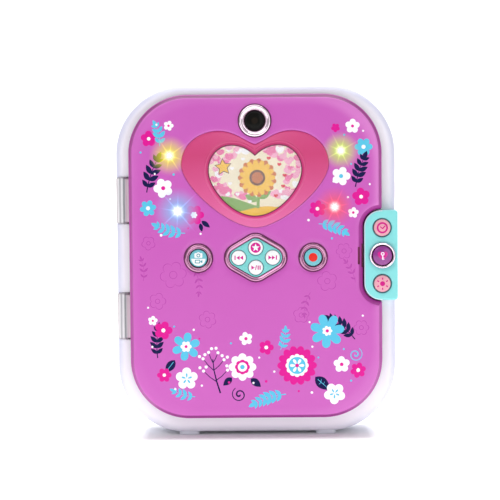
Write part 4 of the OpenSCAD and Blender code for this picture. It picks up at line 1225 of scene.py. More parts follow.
def led_mat(i):
    col, size, turn = LED_LOOK[i]
    m, nt, p = new_mat("lamp_%d" % i)
    vec = coords(nt)
    x, z = C(*LEDS[i])
    d = nt.nodes.new("ShaderNodeVectorMath")
    d.operation = "DISTANCE"
    nt.links.new(vec, d.inputs[0])
    d.inputs[1].default_value = (x * .001, -.021, z * .001)
    fac = span(nt, d.outputs["Value"], .0002, .0019, 0, 1, True)
    c = ramp(nt, fac, [(0, (1, 1, 1)), (.45, tuple(.6 + .4 * v for v in col)), (1, col)])
    nt.links.new(c, p.inputs["Emission Color"])
    nt.links.new(c, p.inputs["Base Color"])
    p.inputs["Emission Strength"].default_value = 1.6
    p.inputs["Roughness"].default_value = .15
    return m


s = Shape()
for i, at in enumerate(LEDS):
    x, z = C(*at)
    y0 = float(face_y(np.array([[x, z]]))[0])
    s.lathe(x, z, [(0, -10.6), (1.45, -10.6), (1.45, -18.35), (1.58, -18.35), (1.58, y0 - .02), (1.45, y0 - .16),
                   (1.1, y0 - .29), (.6, y0 - .37), (0, y0 - .4)], 28, i)
build("lamps", s, [led_mat(i) for i in range(4)], "cover", ("led_lenses",), 40)

# ------------------------------------------------------------------ the base


def base_rings():
    r = [(base_path(RIM_F * (1 - math.cos(a))), Y_RIM + RIM_F - RIM_F * math.sin(a)) for a in np.radians(np.linspace(90, 0, 10))]
    r += [(base_path(0), 4.0)]
    r += [(base_path(BACK_F * (1 - math.cos(a))), Y_BACK - BACK_F + BACK_F * math.sin(a)) for a in np.radians(np.linspace(0, 90, 12))]
    return r


def base_solid():
    s = Shape()
    r = base_rings()
    s.loft(r)
    s.fill([r[0][0]], r[0][1], 8)
    s.fill([r[-1][0]], r[-1][1], 8)
    return s




def shell_mat(name, inner, outer, rough):
    """White case plastic with painted shade: a greyer lavender that grows towards the outline (less along the bottom
    edge) and covers the rear half.
    """
    m, nt, p = new_mat(name)
    vec = coords(nt)
    sep = nt.nodes.new("ShaderNodeSeparateXYZ")
    nt.links.new(vec, sep.inputs[0])
    ex = maths(nt, "MAXIMUM", maths(nt, "SUBTRACT", maths(nt, "ABSOLUTE", maths(nt, "SUBTRACT", sep.outputs[0], BX * .001)), (BW / 2 - BR) * .001), 0.0)
    ez = maths(nt, "MAXIMUM", maths(nt, "SUBTRACT", maths(nt, "ABSOLUTE", maths(nt, "SUBTRACT", sep.outputs[2], BZ * .001)), (BH / 2 - BR) * .001), 0.0)
    d = maths(nt, "SQRT", maths(nt, "ADD", maths(nt, "MULTIPLY", ex, ex), maths(nt, "MULTIPLY", ez, ez)))
    fac = maths(nt, "MULTIPLY", span(nt, d, .0315, .0362, 0, 1, True), span(nt, sep.outputs[2], .003, .014, .3, 1))
    fac = maths(nt, "MAXIMUM", fac, span(nt, sep.outputs[1], -.001, .006, 0, .9))
    fac = maths(nt, "ADD", fac, maths(nt, "MULTIPLY", maths(nt, "SUBTRACT", noise(nt, vec, 30, 2), .5), .1), clamp=True)
    nt.links.new(ramp(nt, fac, [(0, inner), (1, outer)]), p.inputs["Base Color"])
    nt.links.new(span(nt, noise(nt, vec, 420, 4, .6), .3, .7, rough - .05, rough + .05), p.inputs["Roughness"])
    nt.links.new(bump(nt, noise(nt, vec, 2600, 2), .03, .00004), p.inputs["Normal"])
    p.inputs["Coat Weight"].default_value = .1
    p.inputs["Coat Roughness"].default_value = .06
    return m


MAT_BASE = shell_mat("base_white", srgb(240, 240, 249), srgb(206, 205, 228), .34)
MAT_DECK = shell_mat("deck_white", srgb(246, 246, 252), srgb(206, 205, 228), .36)


def key_places():
    for j in range(4):
        for i in range(10):
            yield i, j, CX + (i - 4.5) * 11.3, CZ - 27 - j * 11.5


def make_deck():
    s = Shape()
    front = [(base_path(RIM_F * (1 - math.cos(a))), Y_RIM + RIM_F - RIM_F * math.sin(a)) for a in np.radians(np.linspace(0, 90, 10))]
    s.loft([(base_path(2.2), -5.5), (base_path(2.2), -1.02), (base_path(.22), -1.02), (base_path(0), -1.25), (base_path(0), -3.4)] + front)
    top, floor = [base_path(RIM_F)], []
    p = [pocket_path(t) for t in (-.6, -.25, -.06, 0, 0, .12, .45)]
    s.loft(list(zip(p, (-10, -9.93, -9.72, -9.4, -7.95, -7.65, -7.5))))
    top.append(p[0])
    s.fill(top, -10.0, 6)
    floor, back = [p[-1]], [base_path(2.2)]

    def through(path_of, lip, y0=-7.5, y1=-5.5):
        f, b = hole(s, path_of, y0, y1, lip)
        floor.append(f)
        back.append(b)

    for i, j, x, z in key_places():
        through(lambda g: rr(x, z, 9.4 + 2 * g, 8.6 + 2 * g, 1.3 + g, 5, 1), .25)
    for at in (PHOTO, RECORD, STAR, PLAY, PREV, NEXT):
        through(lambda g: circle(CX + at[0], CZ + at[1], 3.6 + g, 32), .2)
    through(lambda g: circle(CX + CAMERA[0], CZ + CAMERA[1], 4.3 + g, 36), .3)
    for at in LEDS:
        through(lambda g: circle(CX + at[0], CZ + at[1], 1.8 + g, 20), .15)
    through(lambda g: circle(CX - 24, CZ + 71, .8 + g, 16), .1)
    sx, sz = C(*SCREEN)
    a, b, c = rr(sx, sz, 60.5, 48.5, 2.25, 6, 10), rr(sx, sz, 60, 48, 2, 6, 10), rr(sx, sz, 53, 41, 1.5, 6, 10)
    s.loft([(a, -7.5), (b, -7.25), (b, -6.3), (c, -6.3), (c, -5.5)])
    floor.append(a)
    back.append(c)
    s.fill(floor, -7.5, 5)
    s.fill(back, -5.5, 8)
    cut = Shape()
    for z in HINGE_Z:
        cut.box(-78, -67.9, -12, -3.9, z - 12.8, z + 12.8)
    cut.box(59.6, 72.6, -12, -4, 75.8, 119.9)
    a = cutter(cut)
    o = build("front_half", s, [MAT_DECK], "base", ("front_deck",), 30, cutters=((a, "DIFFERENCE"),))
    drop(a)
    # hinge blocks behind the notches
    h = Shape()
    for z in HINGE_Z:
        h.box(-73.4, -67.0, -4.0, -2.5, z - 13.6, z + 13.6)
        for k in (-1, 1):
            zz = z + k * 14.9
            h.block(lambda t: rr(-71.2, zz, 5.6 - 2 * t, 4.2 - 2 * t, .8 - t * .5), -9.2, -3.0, .4, 0, 2)
    build("hinge_blocks", h, [MAT_DECK], "base", (), 30)


make_deck()


def door_path(g):
    w, h, r = 56 + g, 16.75 + g, 3 + g
    zc, e = 37.75, 5 + g
    top = zc + h
    a, b = w - r, h - r
    parts = [arc(a, zc + b, r, 0, 90, 6), np.array([(e + .01, top)]), arc(0, 57.2, e, 0, 180, 16), np.array([(-e - .01, top)]),
             arc(-a, zc + b, r, 90, 180, 6), arc(-a, zc - b, r, 180, 270, 6), arc(a, zc - b, r, 270, 360, 6)]
    ks = (12, 1, 1, 12, 8, 28, 8)
    out = []
    for i, p in enumerate(parts):
        q = parts[(i + 1) % len(parts)][0]
        out.append(p)
        u = np.arange(1, ks[i] + 1)[:, None] / (ks[i] + 1)
        out.append(p[-1] + (q - p[-1]) * u)
    return np.vstack(out)


CASE_SCREWS = ((-40, 172), (39, 172), (-56, 112), (56, 120), (-40, 14), (39, 14))


def make_case():
    s = Shape()
    outer = [(base_path(.22), -.98), (base_path(0), -.75), (base_path(0), 5), (base_path(0), 11)]
    outer += [(base_path(BACK_F * (1 - math.cos(a))), Y_BACK - BACK_F + BACK_F * math.sin(a)) for a in np.radians(np.linspace(0, 90, 13))]
    s.loft(outer)
    r = BACK_F - 2.2
    inner = [(base_path(.22), -.98), (base_path(2.2), -.98), (base_path(2.2), 5), (base_path(2.2), 11)]
    inner += [(base_path(2.2 + r * (1 - math.cos(a))), 14 + r * math.sin(a)) for a in np.radians(np.linspace(0, 90, 9))]
    s.loft(inner)
    back, skin = [base_path(BACK_F)], [base_path(BACK_F)]
    # door recess and cell bay
    d = [door_path(g) for g in (.75, .42, .3, .3)]
    s.loft(list(zip(d, (22, 21.8, 21.5, 19.8))))
    back.append(d[0])
    bay = rr(0, 37.75, 110, 31.5, 1.2, 4, 12)
    ear = circle(0, 57.2, 1.4, 16)
    s.fill([d[-1], bay, ear], 19.8, 5)
    s.loft([(bay, 19.8), (bay, 5.4), (rr(0, 37.75, 109.2, 30.7, .9, 4, 12), 5.0)])
    s.fill([rr(0, 37.75, 109.2, 30.7, .9, 4, 12)], 5.0, 8)
    s.loft([(ear, 19.8), (ear, 9.8)])
    s.fill([ear], 9.8)
    shell = door_path(1.6)
    s.loft([(shell, 19.8), (shell, 3.4)])
    s.fill([shell], 3.4, 10)
    skin.append(shell)
    for x, z in CASE_SCREWS:
        a, b, c, e = circle(x, z, 3.2, 28), circle(x, z, 2.9, 28), circle(x, z, 1.5, 28), circle(x, z, 3.8, 28)
        s.loft([(a, 22), (b, 21.7), (b, 10), (c, 10), (c, 6), (e, 6), (e, 19.8)])
        back.append(a)
        skin.append(e)
    for i in range(-3, 4):
        h = 28 - 3.2 * abs(i)
        a, b = rr(i * 4.4, 118, 2.2, h + .4, 1.1, 6, 6), rr(i * 4.4, 118, 1.8, h, .9, 6, 6)
        s.loft([(a, 22), (b, 21.75), (b, 19.8)])
        back.append(a)
        skin.append(b)
    s.fill(back, 22.0, 6)
    s.fill(skin, 19.8, 8)
    cut = Shape()
    for z, h in ((146.95, 11.9), (132.35, 10.9)):
        part = Shape().block(lambda t: rr(5.0, z, 5.6 - 2 * t, h - 2 * t, 1.6 - t, 6, 4), 71.5, 76.5)
        v = np.vstack(part.v)
        cut.add(v[:, [1, 0, 2]], part.f)
    a = cutter(cut)
    o = build("back_half", s, [MAT_BASE], "base", ("rear_case",), 30, cutters=((a, "DIFFERENCE"),))
    drop(a)
    # wall between the two rows of cells
    w = Shape().box(-.6, .6, 4.9, 18.5, 21.9, 53.6)
    build("cell_wall", w, [MAT_BASE], "base", (), 30)


make_case()

# battery door with a grip and its captive screw's ear
s = Shape()
d = [door_path(g) for g in (0, 0, -.12, -.4)]
s.loft(list(zip(d, (20.1, 21.55, 21.85, 21.97))))
ear_f, ear_b = circle(0, 57.2, 3.0, 28), circle(0, 57.2, 1.35, 28)
s.loft([(ear_f, 21.97), (circle(0, 57.2, 2.8, 28), 21.8), (circle(0, 57.2, 2.8, 28), 21.2), (ear_b, 21.2), (ear_b, 20.1)])
s.fill([d[0], ear_b], 20.1, 8)
s.fill([d[-1], ear_f], 21.97, 6)
cut = Shape()
for k in range(5):
    zz = 29.5 - k * 2.0
    w = 22 - 3.6 * k
    cut.block(lambda t: rr(0, zz, w - 2 * t, .9 - 2 * t, .44 - t, 5, 3), 21.45, 22.4)
a = cutter(cut)
build("cell_door", s, [MAT_BASE], "battery_door", ("battery_door",), 30, cutters=((a, "DIFFERENCE"),))
drop(a)

# ------------------------------------------------------------------ lock panel


def make_lock_panel():
    s = Shape()
    f = 1.1
    prof = [(f * (1 - math.sin(a)), Y_LP + f * (1 - math.cos(a))) for a in np.radians(np.linspace(0, 90, 8))]
    s.loft([(lp_path(t, .45), y) for t, y in prof] + [(lp_path(0, g), y) for g, y in ((.4, -16), (.2, -11), (.06, -7), (0, -4), (0, 3.2))] +
           [(lp_path(.1), 4.4), (lp_path(.4), 5.4), (lp_path(.8), 5.85), (lp_path(1.2), 6.0)])
    # painted highlight: the rounded edge towards the cover is paler; painted shade: the side wall in the gap is plum
    for k, q in enumerate(s.f):
        c = s.v[0][q].mean(0)
        if c[0] < 67 and -19.42 < c[1] < -18.9:
            s.m[k] = 1
        elif c[0] < 67 and -18.9 < c[1] < -9:
            s.m[k] = 3
    loops = [lp_path(f, .45)]
    back = [lp_path(1.2)]
    for z, r in ((CLOCK_Z, 4.72), (LIGHT_Z, 4.72)):
        rings = [(circle(LOCK_X, z, r + g, 48), y) for g, y in ((1.15, Y_LP), (.85, Y_LP + .05), (.5, Y_LP + .2), (.18, Y_LP + .42),
                                                             (.02, Y_LP + .75), (0, Y_LP + 1.8))]
        s.loft(rings[:3])
        # painted shade: the recess wall round the button in dark aqua
        s.loft(rings[2:], 2)
        s.loft([rings[-1], (circle(LOCK_X, z, r + 1.2, 48), Y_LP + 1.8), (circle(LOCK_X, z, r + 1.2, 48), -14.5)])
        s.fill([circle(LOCK_X, z, r + 1.2, 48)], -14.5, 3)
        loops.append(rings[0][0])
    r = 6.12
    rings = [(circle(LOCK_X, LOCK_Z, r + g, 56), y) for g, y in ((1.0, Y_LP), (.93, Y_LP + .04), (.85, Y_LP + .06), (0, Y_LP + .06), (0, Y_LP + 1.8))]
    s.loft(rings + [(circle(LOCK_X, LOCK_Z, r + .6, 56), Y_LP + 1.8), (circle(LOCK_X, LOCK_Z, r + .6, 56), -14.5)])
    s.fill([circle(LOCK_X, LOCK_Z, r + .6, 56)], -14.5, 3)
    loops.append(rings[0][0])
    s.fill(loops, Y_LP, 2.5)
    s.fill(back, 6.0, 4)
    base = base_solid()
    # hollow behind the buttons, way for the bolt
    cut = Shape().box(59.6, 72.6, -16.0, 0, 75.8, 119.9)
    way = Shape().box(56, 60.5, -14.9, -12.3, CZ + .45 - 5.95, CZ + .45 + 5.95)
    a, b, c = cutter(base), cutter(cut), cutter(way)
    # painted shade: plum side wall of the panel in the gap, darker towards the back
    shade = edge_mat("panel_gap", [(0, srgb(116, 60, 104)), (1, srgb(90, 40, 80))], 1, -.0189, -.009)
    o = build("lock_body", s, [MAT_AQUA, MAT_AQUA_HIGHLIGHT, MAT_AQUA_SHADE, shade], "base", ("lock_panel",), 32,
              cutters=((a, "DIFFERENCE"), (b, "DIFFERENCE"), (c, "DIFFERENCE")))
    drop(a, b, c)


make_lock_panel()

MAT_ROSE = plastic("rose_cap", srgb(226, 160, 174), .26, .3, .03, 0)
MAT_SIGN_ROSE = plastic("sign_rose", srgb(206, 28, 132), .4, 0, .05, 0, spec=.2)
MAT_DOME = plastic("purple_dome", srgb(140, 44, 138), .16, .6, .06, 0)
MAT_DOME_HEART = plastic("dome_heart", srgb(206, 26, 142), .25, .3, .05, 0, spec=.3)
MAT_KEY_SIGN = plastic("key_sign", srgb(240, 226, 244), .3, 0, .02, 0)

x, z = LOCK_X, CLOCK_Z
ring_sign = [(circle(x, z, 3.0, 36), 1), (circle(x, z, 2.05, 28), 0),
             (poly([(-.05, -.75), (.4, -.7), (1.75, .85), (1.3, 1.25), (.08, .0), (-.95, .85), (-1.35, .4)], x, z), 1)]
cap("clock_cap", "clock_button", (x, z), 8.9, -20.2, .5, "clock_button", [MAT_ROSE, MAT_SIGN_ROSE], ring_sign,
    5.5, 3.5, .6, back_y=-10.4, y_flange=(-17.3, -16.5))
x, z = LOCK_X, LIGHT_Z
sun = [(circle(x, z, 1.35, 24), 1)]
for k in range(6):
    a = math.radians(60 * k + 30)
    u, w_ = np.array((math.cos(a), math.sin(a))), np.array((-math.sin(a), math.cos(a)))
    sun.append((np.array([u * 2.15 - w_ * .33, u * 3.25 - w_ * .4, u * 3.25 + w_ * .4, u * 2.15 + w_ * .33]) + (x, z), 1))
cap("light_cap", "light_button", (x, z), 8.9, -20.2, .5, "light_button", [MAT_ROSE, MAT_SIGN_ROSE], sun,
    5.5, 3.5, .6, back_y=-10.4, y_flange=(-17.3, -16.5))
x, z = LOCK_X, LOCK_Z


def small_heart(x, z, w, n=10):
    k = w / 24.6
    p = heart_path(53.8, [12.6, 59.4], [24.6, 46.3], 22.2, [2.5, 2.4, 6, 9.3, 12.5], n) - (CX, CZ + 40)
    return p * k + (x, z)


key_sign = [(small_heart(x, z + .1, 2.7), 1), (circle(x, z + .95, 1.0, 18), 2), (circle(x, z + 1.0, .42, 12), 1),
            (rounded(x, z - .85, .62, 2.6, .1, 2), 2), (rounded(x + .5, z - 1.9, .7, .42, .08, 2), 2),
            (rounded(x + .42, z - 1.15, .55, .36, .08, 2), 2)]
cap("lock_dome", "lock_button", (x, z), 10.4, -20.8, 1.2, "lock_button", [MAT_DOME, MAT_DOME_HEART, MAT_KEY_SIGN],
    key_sign, 6.0, 4, .5, back_y=-10.4, y_flange=(-17.3, -16.5))

# ------------------------------------------------------------------ hinges


def barrel_mat():
    """Clear plastic with painted bands: the pin seen through it is painted as a grey band, with painted highlights as
    bright bands beside it, and the barrel turns greyer towards its ends.
    """
    m, nt, p = new_mat("barrel_clear")
    vec = coords(nt)
    sep = nt.nodes.new("ShaderNodeSeparateXYZ")
    nt.links.new(vec, sep.inputs[0])
    wob = maths(nt, "MULTIPLY", maths(nt, "SUBTRACT", noise(nt, vec, 60, 2), .5), .0004)
    u = span(nt, maths(nt, "ADD", sep.outputs[0], wob), (HX - 3.7) * .001, (HX + 3.7) * .001, 0, 1)
    painted_bands = ramp(nt, u, [(0, srgb(150, 128, 138)), (.06, srgb(196, 178, 186)), (.12, srgb(240, 236, 240)), (.24, srgb(228, 226, 230)),
                         (.3, srgb(160, 158, 164)), (.38, srgb(222, 222, 226)), (.47, srgb(250, 250, 252)), (.55, srgb(176, 178, 182)),
                         (.63, srgb(140, 142, 146)), (.7, srgb(206, 204, 208)), (.8, srgb(212, 190, 200)), (.9, srgb(236, 226, 232)),
                         (1, srgb(168, 126, 148))])
    end = None
    for zc in HINGE_Z:
        one = span(nt, maths(nt, "ABSOLUTE", maths(nt, "SUBTRACT", sep.outputs[2], zc * .001)), .0114, .0124, 0, 1)
        end = one if end is None else maths(nt, "MULTIPLY", end, one)
    nt.links.new(mixc(nt, maths(nt, "MULTIPLY", end, .7), painted_bands, srgb(150, 140, 148)), p.inputs["Base Color"])
    nt.links.new(span(nt, noise(nt, vec, 300, 2), .3, .7, .06, .12), p.inputs["Roughness"])
    nt.links.new(span(nt, noise(nt, vec, 50, 2), .3, .7, .8, .88), p.inputs["Alpha"])
    p.inputs["Coat Weight"].default_value = .3
    p.inputs["Coat Roughness"].default_value = .05
    p.inputs["Specular IOR Level"].default_value = .4
    return m


MAT_BARREL = barrel_mat()
s = Shape()
for zc in HINGE_Z:
    h, R, r0, r1 = 12.5, 3.7, 1.62, 1.33
    prof = [(r1, -h), (r1 + .5, -h), (2.7, -h), (3.3, -h + .25), (3.6, -h + .75), (R, -h + 1.4), (R, h - 1.4), (3.6, h - .75),
            (3.3, h - .25), (2.7, h), (r1 + .5, h), (r1, h), (r1, h - .01), (r1, -h + .01), (r1, -h)]
    part = Shape().lathe(0, 0, prof, 40)
    v = np.vstack(part.v)
    s.add(np.c_[v[:, 0] + HX, v[:, 2] + HY, v[:, 1] + zc], part.f)
    # leaf that goes into the cover, and its root on the barrel
    part = Shape().block(lambda t: rr(-67.9, zc, 6.6 - 2 * t, 23 - 2 * t, .8 - t * .5, 4, 4), -12.35, -10.65, .25, .25, 2)
    s.add(np.vstack(part.v), part.f)
    part = Shape().block(lambda t: rr(-70.3, zc, 2.2 - 2 * t, 23 - 2 * t, .6 - t * .5, 4, 4), -12.3, -9.4, .2, 0, 2)
    s.add(np.vstack(part.v), part.f)
build("hinge_barrels", s, [MAT_BARREL], "cover", ("hinge_leaves",), 30)

s = Shape()
for zc in HINGE_Z:
    part = Shape().lathe(0, 0, [(0, -17.5), (1.0, -17.5), (1.25, -17.2), (1.25, 17.2), (1.0, 17.5), (0, 17.5)], 28)
    v = np.vstack(part.v)
    s.add(np.c_[v[:, 0] + HX, v[:, 2] + HY, v[:, 1] + zc], part.f)
MAT_PIN = metal("pin_steel", (.5, .5, .53), .22, .3)
build("hinge_rods", s, [MAT_PIN], "base", ("hinge_pins",), 30)

# ------------------------------------------------------------------ side buttons and feet

MAT_SIDE = plastic("side_pink", srgb(228, 176, 200), .34, 0, .03, 0)
for name, node, zc, h in (("volume_up_key", "volume_up_button", 146.95, 11.3), ("volume_down_key", "volume_down_button", 132.35, 10.3)):
    part = Shape().block(lambda t: rr(5.0, zc, 5.0 - 2 * t, h - 2 * t, 1.4 - t * .9, 6, 4), 71.3, 75.75, 0, .5, 4)
    v = np.vstack(part.v)
    s = Shape().add(v[:, [1, 0, 2]], part.f)
    lo_, hi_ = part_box(node)
    part = Shape().block(lambda t: rr(5.0, zc, 6.6 - 2 * t, h + 1.6 - 2 * t, 1.6 - t, 4, 2), 71.0, 72.2, 0, 0)
    v = np.vstack(part.v)
    s.add(v[:, [1, 0, 2]], part.f)
    build(name, s, [MAT_SIDE], node, (node,), 32)

MAT_FOOT = plastic("foot_grey", srgb(226, 228, 238), .6, 0, .03, .3, 1500)
s = Shape()
for sx in (-37.75, 36.75):
    part = Shape().block(lambda t: rr(sx, 4.0, 10.9 - 2 * t, 21.9 - 2 * t, 2.2 - t * .6, 6, 3), 0, 2.68, .45, 0, 4)
    v = np.vstack(part.v)
    s.add(v[:, [0, 2, 1]], part.f)
build("feet", s, [MAT_FOOT], "base", ("rubber_feet",), 32)

# ------------------------------------------------------------------ display with a made-up picture


def lit(name, col, strength=1.0, var=.03):
    return plastic(name, tint(col, .08), .4, 0, var, 0, emission=(tint(col, .95), strength), spec=.1, blot=160)


PIC_GAIN = 1.0
PIC = [lit("pic_cream", srgb(248, 236, 206)), lit("pic_blush", srgb(250, 176, 204)), lit("pic_rose", srgb(242, 120, 170)),
       lit("pic_white", srgb(255, 252, 254)), lit("pic_gold", srgb(250, 196, 44)), lit("pic_amber", srgb(212, 116, 36)),
       lit("pic_brown", srgb(112, 66, 36)), lit("pic_red", srgb(228, 44, 56)), lit("pic_leaf", srgb(132, 176, 84)),
       lit("pic_tan", srgb(226, 184, 140)), lit("pic_sky", srgb(186, 224, 246)),
       plastic("lcd_frame", (.03, .03, .035), .35, 0, .1)]


def make_display():
    sx, sz = C(*SCREEN)
    s = Shape()
    box_ = lambda t: rr(sx, sz, 60 - 2 * t, 48 - 2 * t, .8, 4, 10)
    s.loft([(box_(0), -1.9), (box_(0), -5.3), (box_(.15), -5.45), (box_(.6), -5.48)], 11)
    s.fill([box_(0)], -1.9, 8, 11)
    art = [(rr(sx, sz, 52.6, 40.6, 1.2, 4, 10), 0)]

    def put(path, k):
        q = rr(sx, sz, 52.4, 40.4, 1.2, 4, 10)
        out = ~inside(q, path)
        if out.any():
            path = path.copy()
            path[:, 0] = np.clip(path[:, 0], sx - 26.2, sx + 26.2)
            path[:, 1] = np.clip(path[:, 1], sz - 20.2, sz + 20.2)
        art.append((path, k))

    r2 = random.Random(4)

    def tiny(u, w, size, k, turn=0):
        p = small_heart(0, 0, size, 6)
        a = math.radians(turn)
        p = np.c_[p[:, 0] * math.cos(a) - p[:, 1] * math.sin(a), p[:, 0] * math.sin(a) + p[:, 1] * math.cos(a)]
        put(p + (sx + u, sz + w), k)

    # pink and white hearts in drifts round the edge
    for k in range(150):
        a = r2.uniform(0, 2 * math.pi)
        q = r2.uniform(.74, 1.12)
        u, w = 24.5 * q * math.cos(a), 16.5 * q * math.sin(a) + 3.5
        if w < -9 and abs(u) < 14:
            continue
        tiny(u, w, r2.uniform(1.1, 2.6), r2.choice((1, 2, 1, 3, 2, 1)), r2.uniform(-30, 30))
    # meadow with a gold strip and a big sunflower
    put(np.array([(sx - 26, sz - 9.5)] + [(sx - 26 + 52 * t, sz - 11.5 + 3.2 * math.sin(t * 6.0 + .8)) for t in np.linspace(0, 1, 26)]
                 + [(sx + 26, sz - 20), (sx - 26, sz - 20)]), 8)
    put(np.array([(sx - 26, sz - 15)] + [(sx - 26 + 52 * t, sz - 15.8 + 1.8 * math.sin(t * 7.5 + 3.2)) for t in np.linspace(0, 1, 26)]
                 + [(sx + 26, sz - 20), (sx - 26, sz - 20)]), 4)
    fx, fz = 1.2, 1.5
    put(band([(fx - .2, fz - 4), (fx + .6, fz - 10), (fx + .2, fz - 16.5)], 1.5, 1.7) - (CX, CZ) + (sx, sz), 8)
    put(leaf(fx + .4, fz - 11, 8.0, 2.2, 28) - (CX, CZ) + (sx, sz), 8)
    put(leaf(fx + .2, fz - 12.5, 7.6, 2.1, 156) - (CX, CZ) + (sx, sz), 8)
    for p in petals(fx, fz, 10.6, 15, 2.3, 12, .2, m=16):
        put(p - (CX, CZ) + (sx, sz), 5)
    for p in petals(fx, fz, 9.8, 15, 1.9, 0, .2, m=16):
        put(p - (CX, CZ) + (sx, sz), 4)
    put(circle(sx + fx, sz + fz, 4.3, 36), 6)
    put(circle(sx + fx, sz + fz, 3.0, 30), 5)
    for k in range(20):
        a, q = k * 2.39996, .62 * math.sqrt(k)
        put(circle(sx + fx + q * math.cos(a), sz + fz + q * math.sin(a), .3, 8), 6)
    for u, w in ((7.5, 12.0), (13.2, 8.6), (16.0, 2.6), (15.2, -3.2), (11.2, -8.4)):
        tiny(u, w, 1.15, 7)
    for u, w in ((-6.4, 11.6), (-12.4, 6.6), (-13.6, -1.6), (-9.6, -7.4), (-3.0, -11.4)):
        tiny(u, w, 1.1, 3)
    # sticker: a yellow star with a dark rim
    put(star_path(sx - 17.2, sz + 7.4, 4.9, 2.5, 5, 96), 6)
    put(star_path(sx - 17.2, sz + 7.4, 4.1, 2.0, 5, 96), 4)
    s.fill([box_(.6)], -5.48, 1.6, 11, classes=art)
    build("display", s, PIC, "base", ("lcd_module",), 40, weld=5e-4)


make_display()
MAT_LENS_CLEAR = plastic("screen_lens", srgb(240, 245, 255), .05, 0, .02, 0, alpha=.05, spec=.2)
sx, sz = C(*SCREEN)
s = Shape().block(lambda t: rr(sx, sz, 59.8 - 2 * t, 47.8 - 2 * t, 1.95 - t, 6, 4), -7.5, -6.32, .12, 0, 2)
build("display_lens", s, [MAT_LENS_CLEAR], "base", ("screen_lens",), 40)

# ------------------------------------------------------------------ keyboard

MAT_KEYS = plastic("key_pink", srgb(238, 150, 200), .5, 0, .03, .25, 1800)
MAT_LEGEND = plastic("key_legend", srgb(250, 248, 252), .45, 0, .02)


def make_keyboard():
    s = Shape()
    s.block(lambda t: rr(-.75, CZ - 44.25, 113.5 - 2 * t, 45.5 - 2 * t, 1.2 - t, 4, 8), -5.48, -4.3, 0, 0)
    for i, j, x, z in key_places():
        path = lambda t: rr(x, z, 8.8 - 2 * t, 8.0 - 2 * t, 1.1 - t * .6, 5, 1)
        s.fill([path(0)], -5.4, 4)
        s.loft([(path(0), -5.4), (path(0), -8.2), (path(.1), -8.5), (path(.3), -8.72), (path(.65), -8.85), (path(1.05), -8.82)])
        s.fill([path(1.05)], lambda p, x=x, z=z: -8.82 + .16 * (1 - np.clip(np.hypot(p[:, 0] - x, p[:, 1] - z) / 2.9, 0, 1) ** 2),
               1.1)
    build("keyboard", s, [MAT_KEYS], "base", ("keypad",), 34)
    rows = ("1234567890", "QWERTYUIOP", "ASDFGHJKL+", "ZXCVBNM.?!")
    v, f = [], []
    n = 0
    for i, j, x, z in key_places():
        cu = bpy.data.curves.new("legend", "FONT")
        cu.body = rows[j][i]
        cu.size = 4.6
        cu.align_x = "CENTER"
        cu.align_y = "CENTER"
        cu.resolution_u = 3
        cu.extrude = .06
        o = bpy.data.objects.new("legend", cu)
        bpy.context.scene.collection.objects.link(o)
        bpy.context.view_layer.update()
        me = bpy.data.meshes.new_from_object(o.evaluated_get(bpy.context.evaluated_depsgraph_get()))
        pts = np.array([tuple(q.co) for q in me.vertices])
        c = (pts.min(0) + pts.max(0)) / 2
        pts = pts - (c[0], c[1], 0)
        v.append(np.c_[pts[:, 0] + x, -8.74 - pts[:, 2], pts[:, 1] + z])
        f += [[k + n for k in p.vertices] for p in me.polygons]
        n += len(pts)
        bpy.data.objects.remove(o)
        bpy.data.curves.remove(cu)
        bpy.data.meshes.remove(me)
    s = Shape().add(np.vstack(v), f)
    build("key_legends", s, [MAT_LEGEND], "base", (), 30)


make_keyboard()

# ------------------------------------------------------------------ materials of the nodes that stay as they are


def dress(mats):
    for node, m in mats.items():
        o = NODE[node]
        if len(o.material_slots) == 0:
            o.data.materials.append(m)
        for sl in o.material_slots:
            sl.material = m


def board_mat():
    m, nt, p = new_mat("board_green")
    vec = coords(nt)
    vo = nt.nodes.new("ShaderNodeTexVoronoi")
    vo.distance = "CHEBYCHEV"
    vo.inputs["Scale"].default_value = 330
    nt.links.new(vec, vo.inputs["Vector"])
    pads = span(nt, vo.outputs["Distance"], .16, .2, 1, 0)
    tracks = noise(nt, vec, 260, 1)
    tr = span(nt, maths(nt, "ABSOLUTE", maths(nt, "SUBTRACT", tracks, .5)), .006, .016, 1, 0)
    base = ramp(nt, noise(nt, vec, 40, 2), [(.3, srgb(18, 92, 56)), (.7, srgb(24, 108, 66))])
    one = mixc(nt, tr, base, srgb(40, 140, 84))
    nt.links.new(mixc(nt, maths(nt, "MULTIPLY", pads, .8), one, srgb(206, 196, 150)), p.inputs["Base Color"])
    nt.links.new(span(nt, pads, 0, 1, .42, .22), p.inputs["Roughness"])
    return m


def cell_mat():
    m, nt, p = new_mat("cell_jacket")
    vec = coords(nt)
    sep = nt.nodes.new("ShaderNodeSeparateXYZ")
    nt.links.new(vec, sep.inputs[0])
    ax = maths(nt, "ABSOLUTE", sep.outputs[0])
    gold = span(nt, ax, .0378, .0382, 0, 1)
    steel = span(nt, ax, .0510, .0512, 0, 1)
    big = noise(nt, vec, 60, 2)
    dark = ramp(nt, big, [(.3, (.03, .032, .04)), (.7, (.045, .048, .058))])
    c1 = mixc(nt, gold, dark, (.62, .36, .13))
    nt.links.new(mixc(nt, steel, c1, (.7, .7, .7)), p.inputs["Base Color"])
    nt.links.new(span(nt, noise(nt, vec, 400, 3), .3, .7, .25, .36), p.inputs["Roughness"])
    p.inputs["Metallic"].default_value = .7
    return m


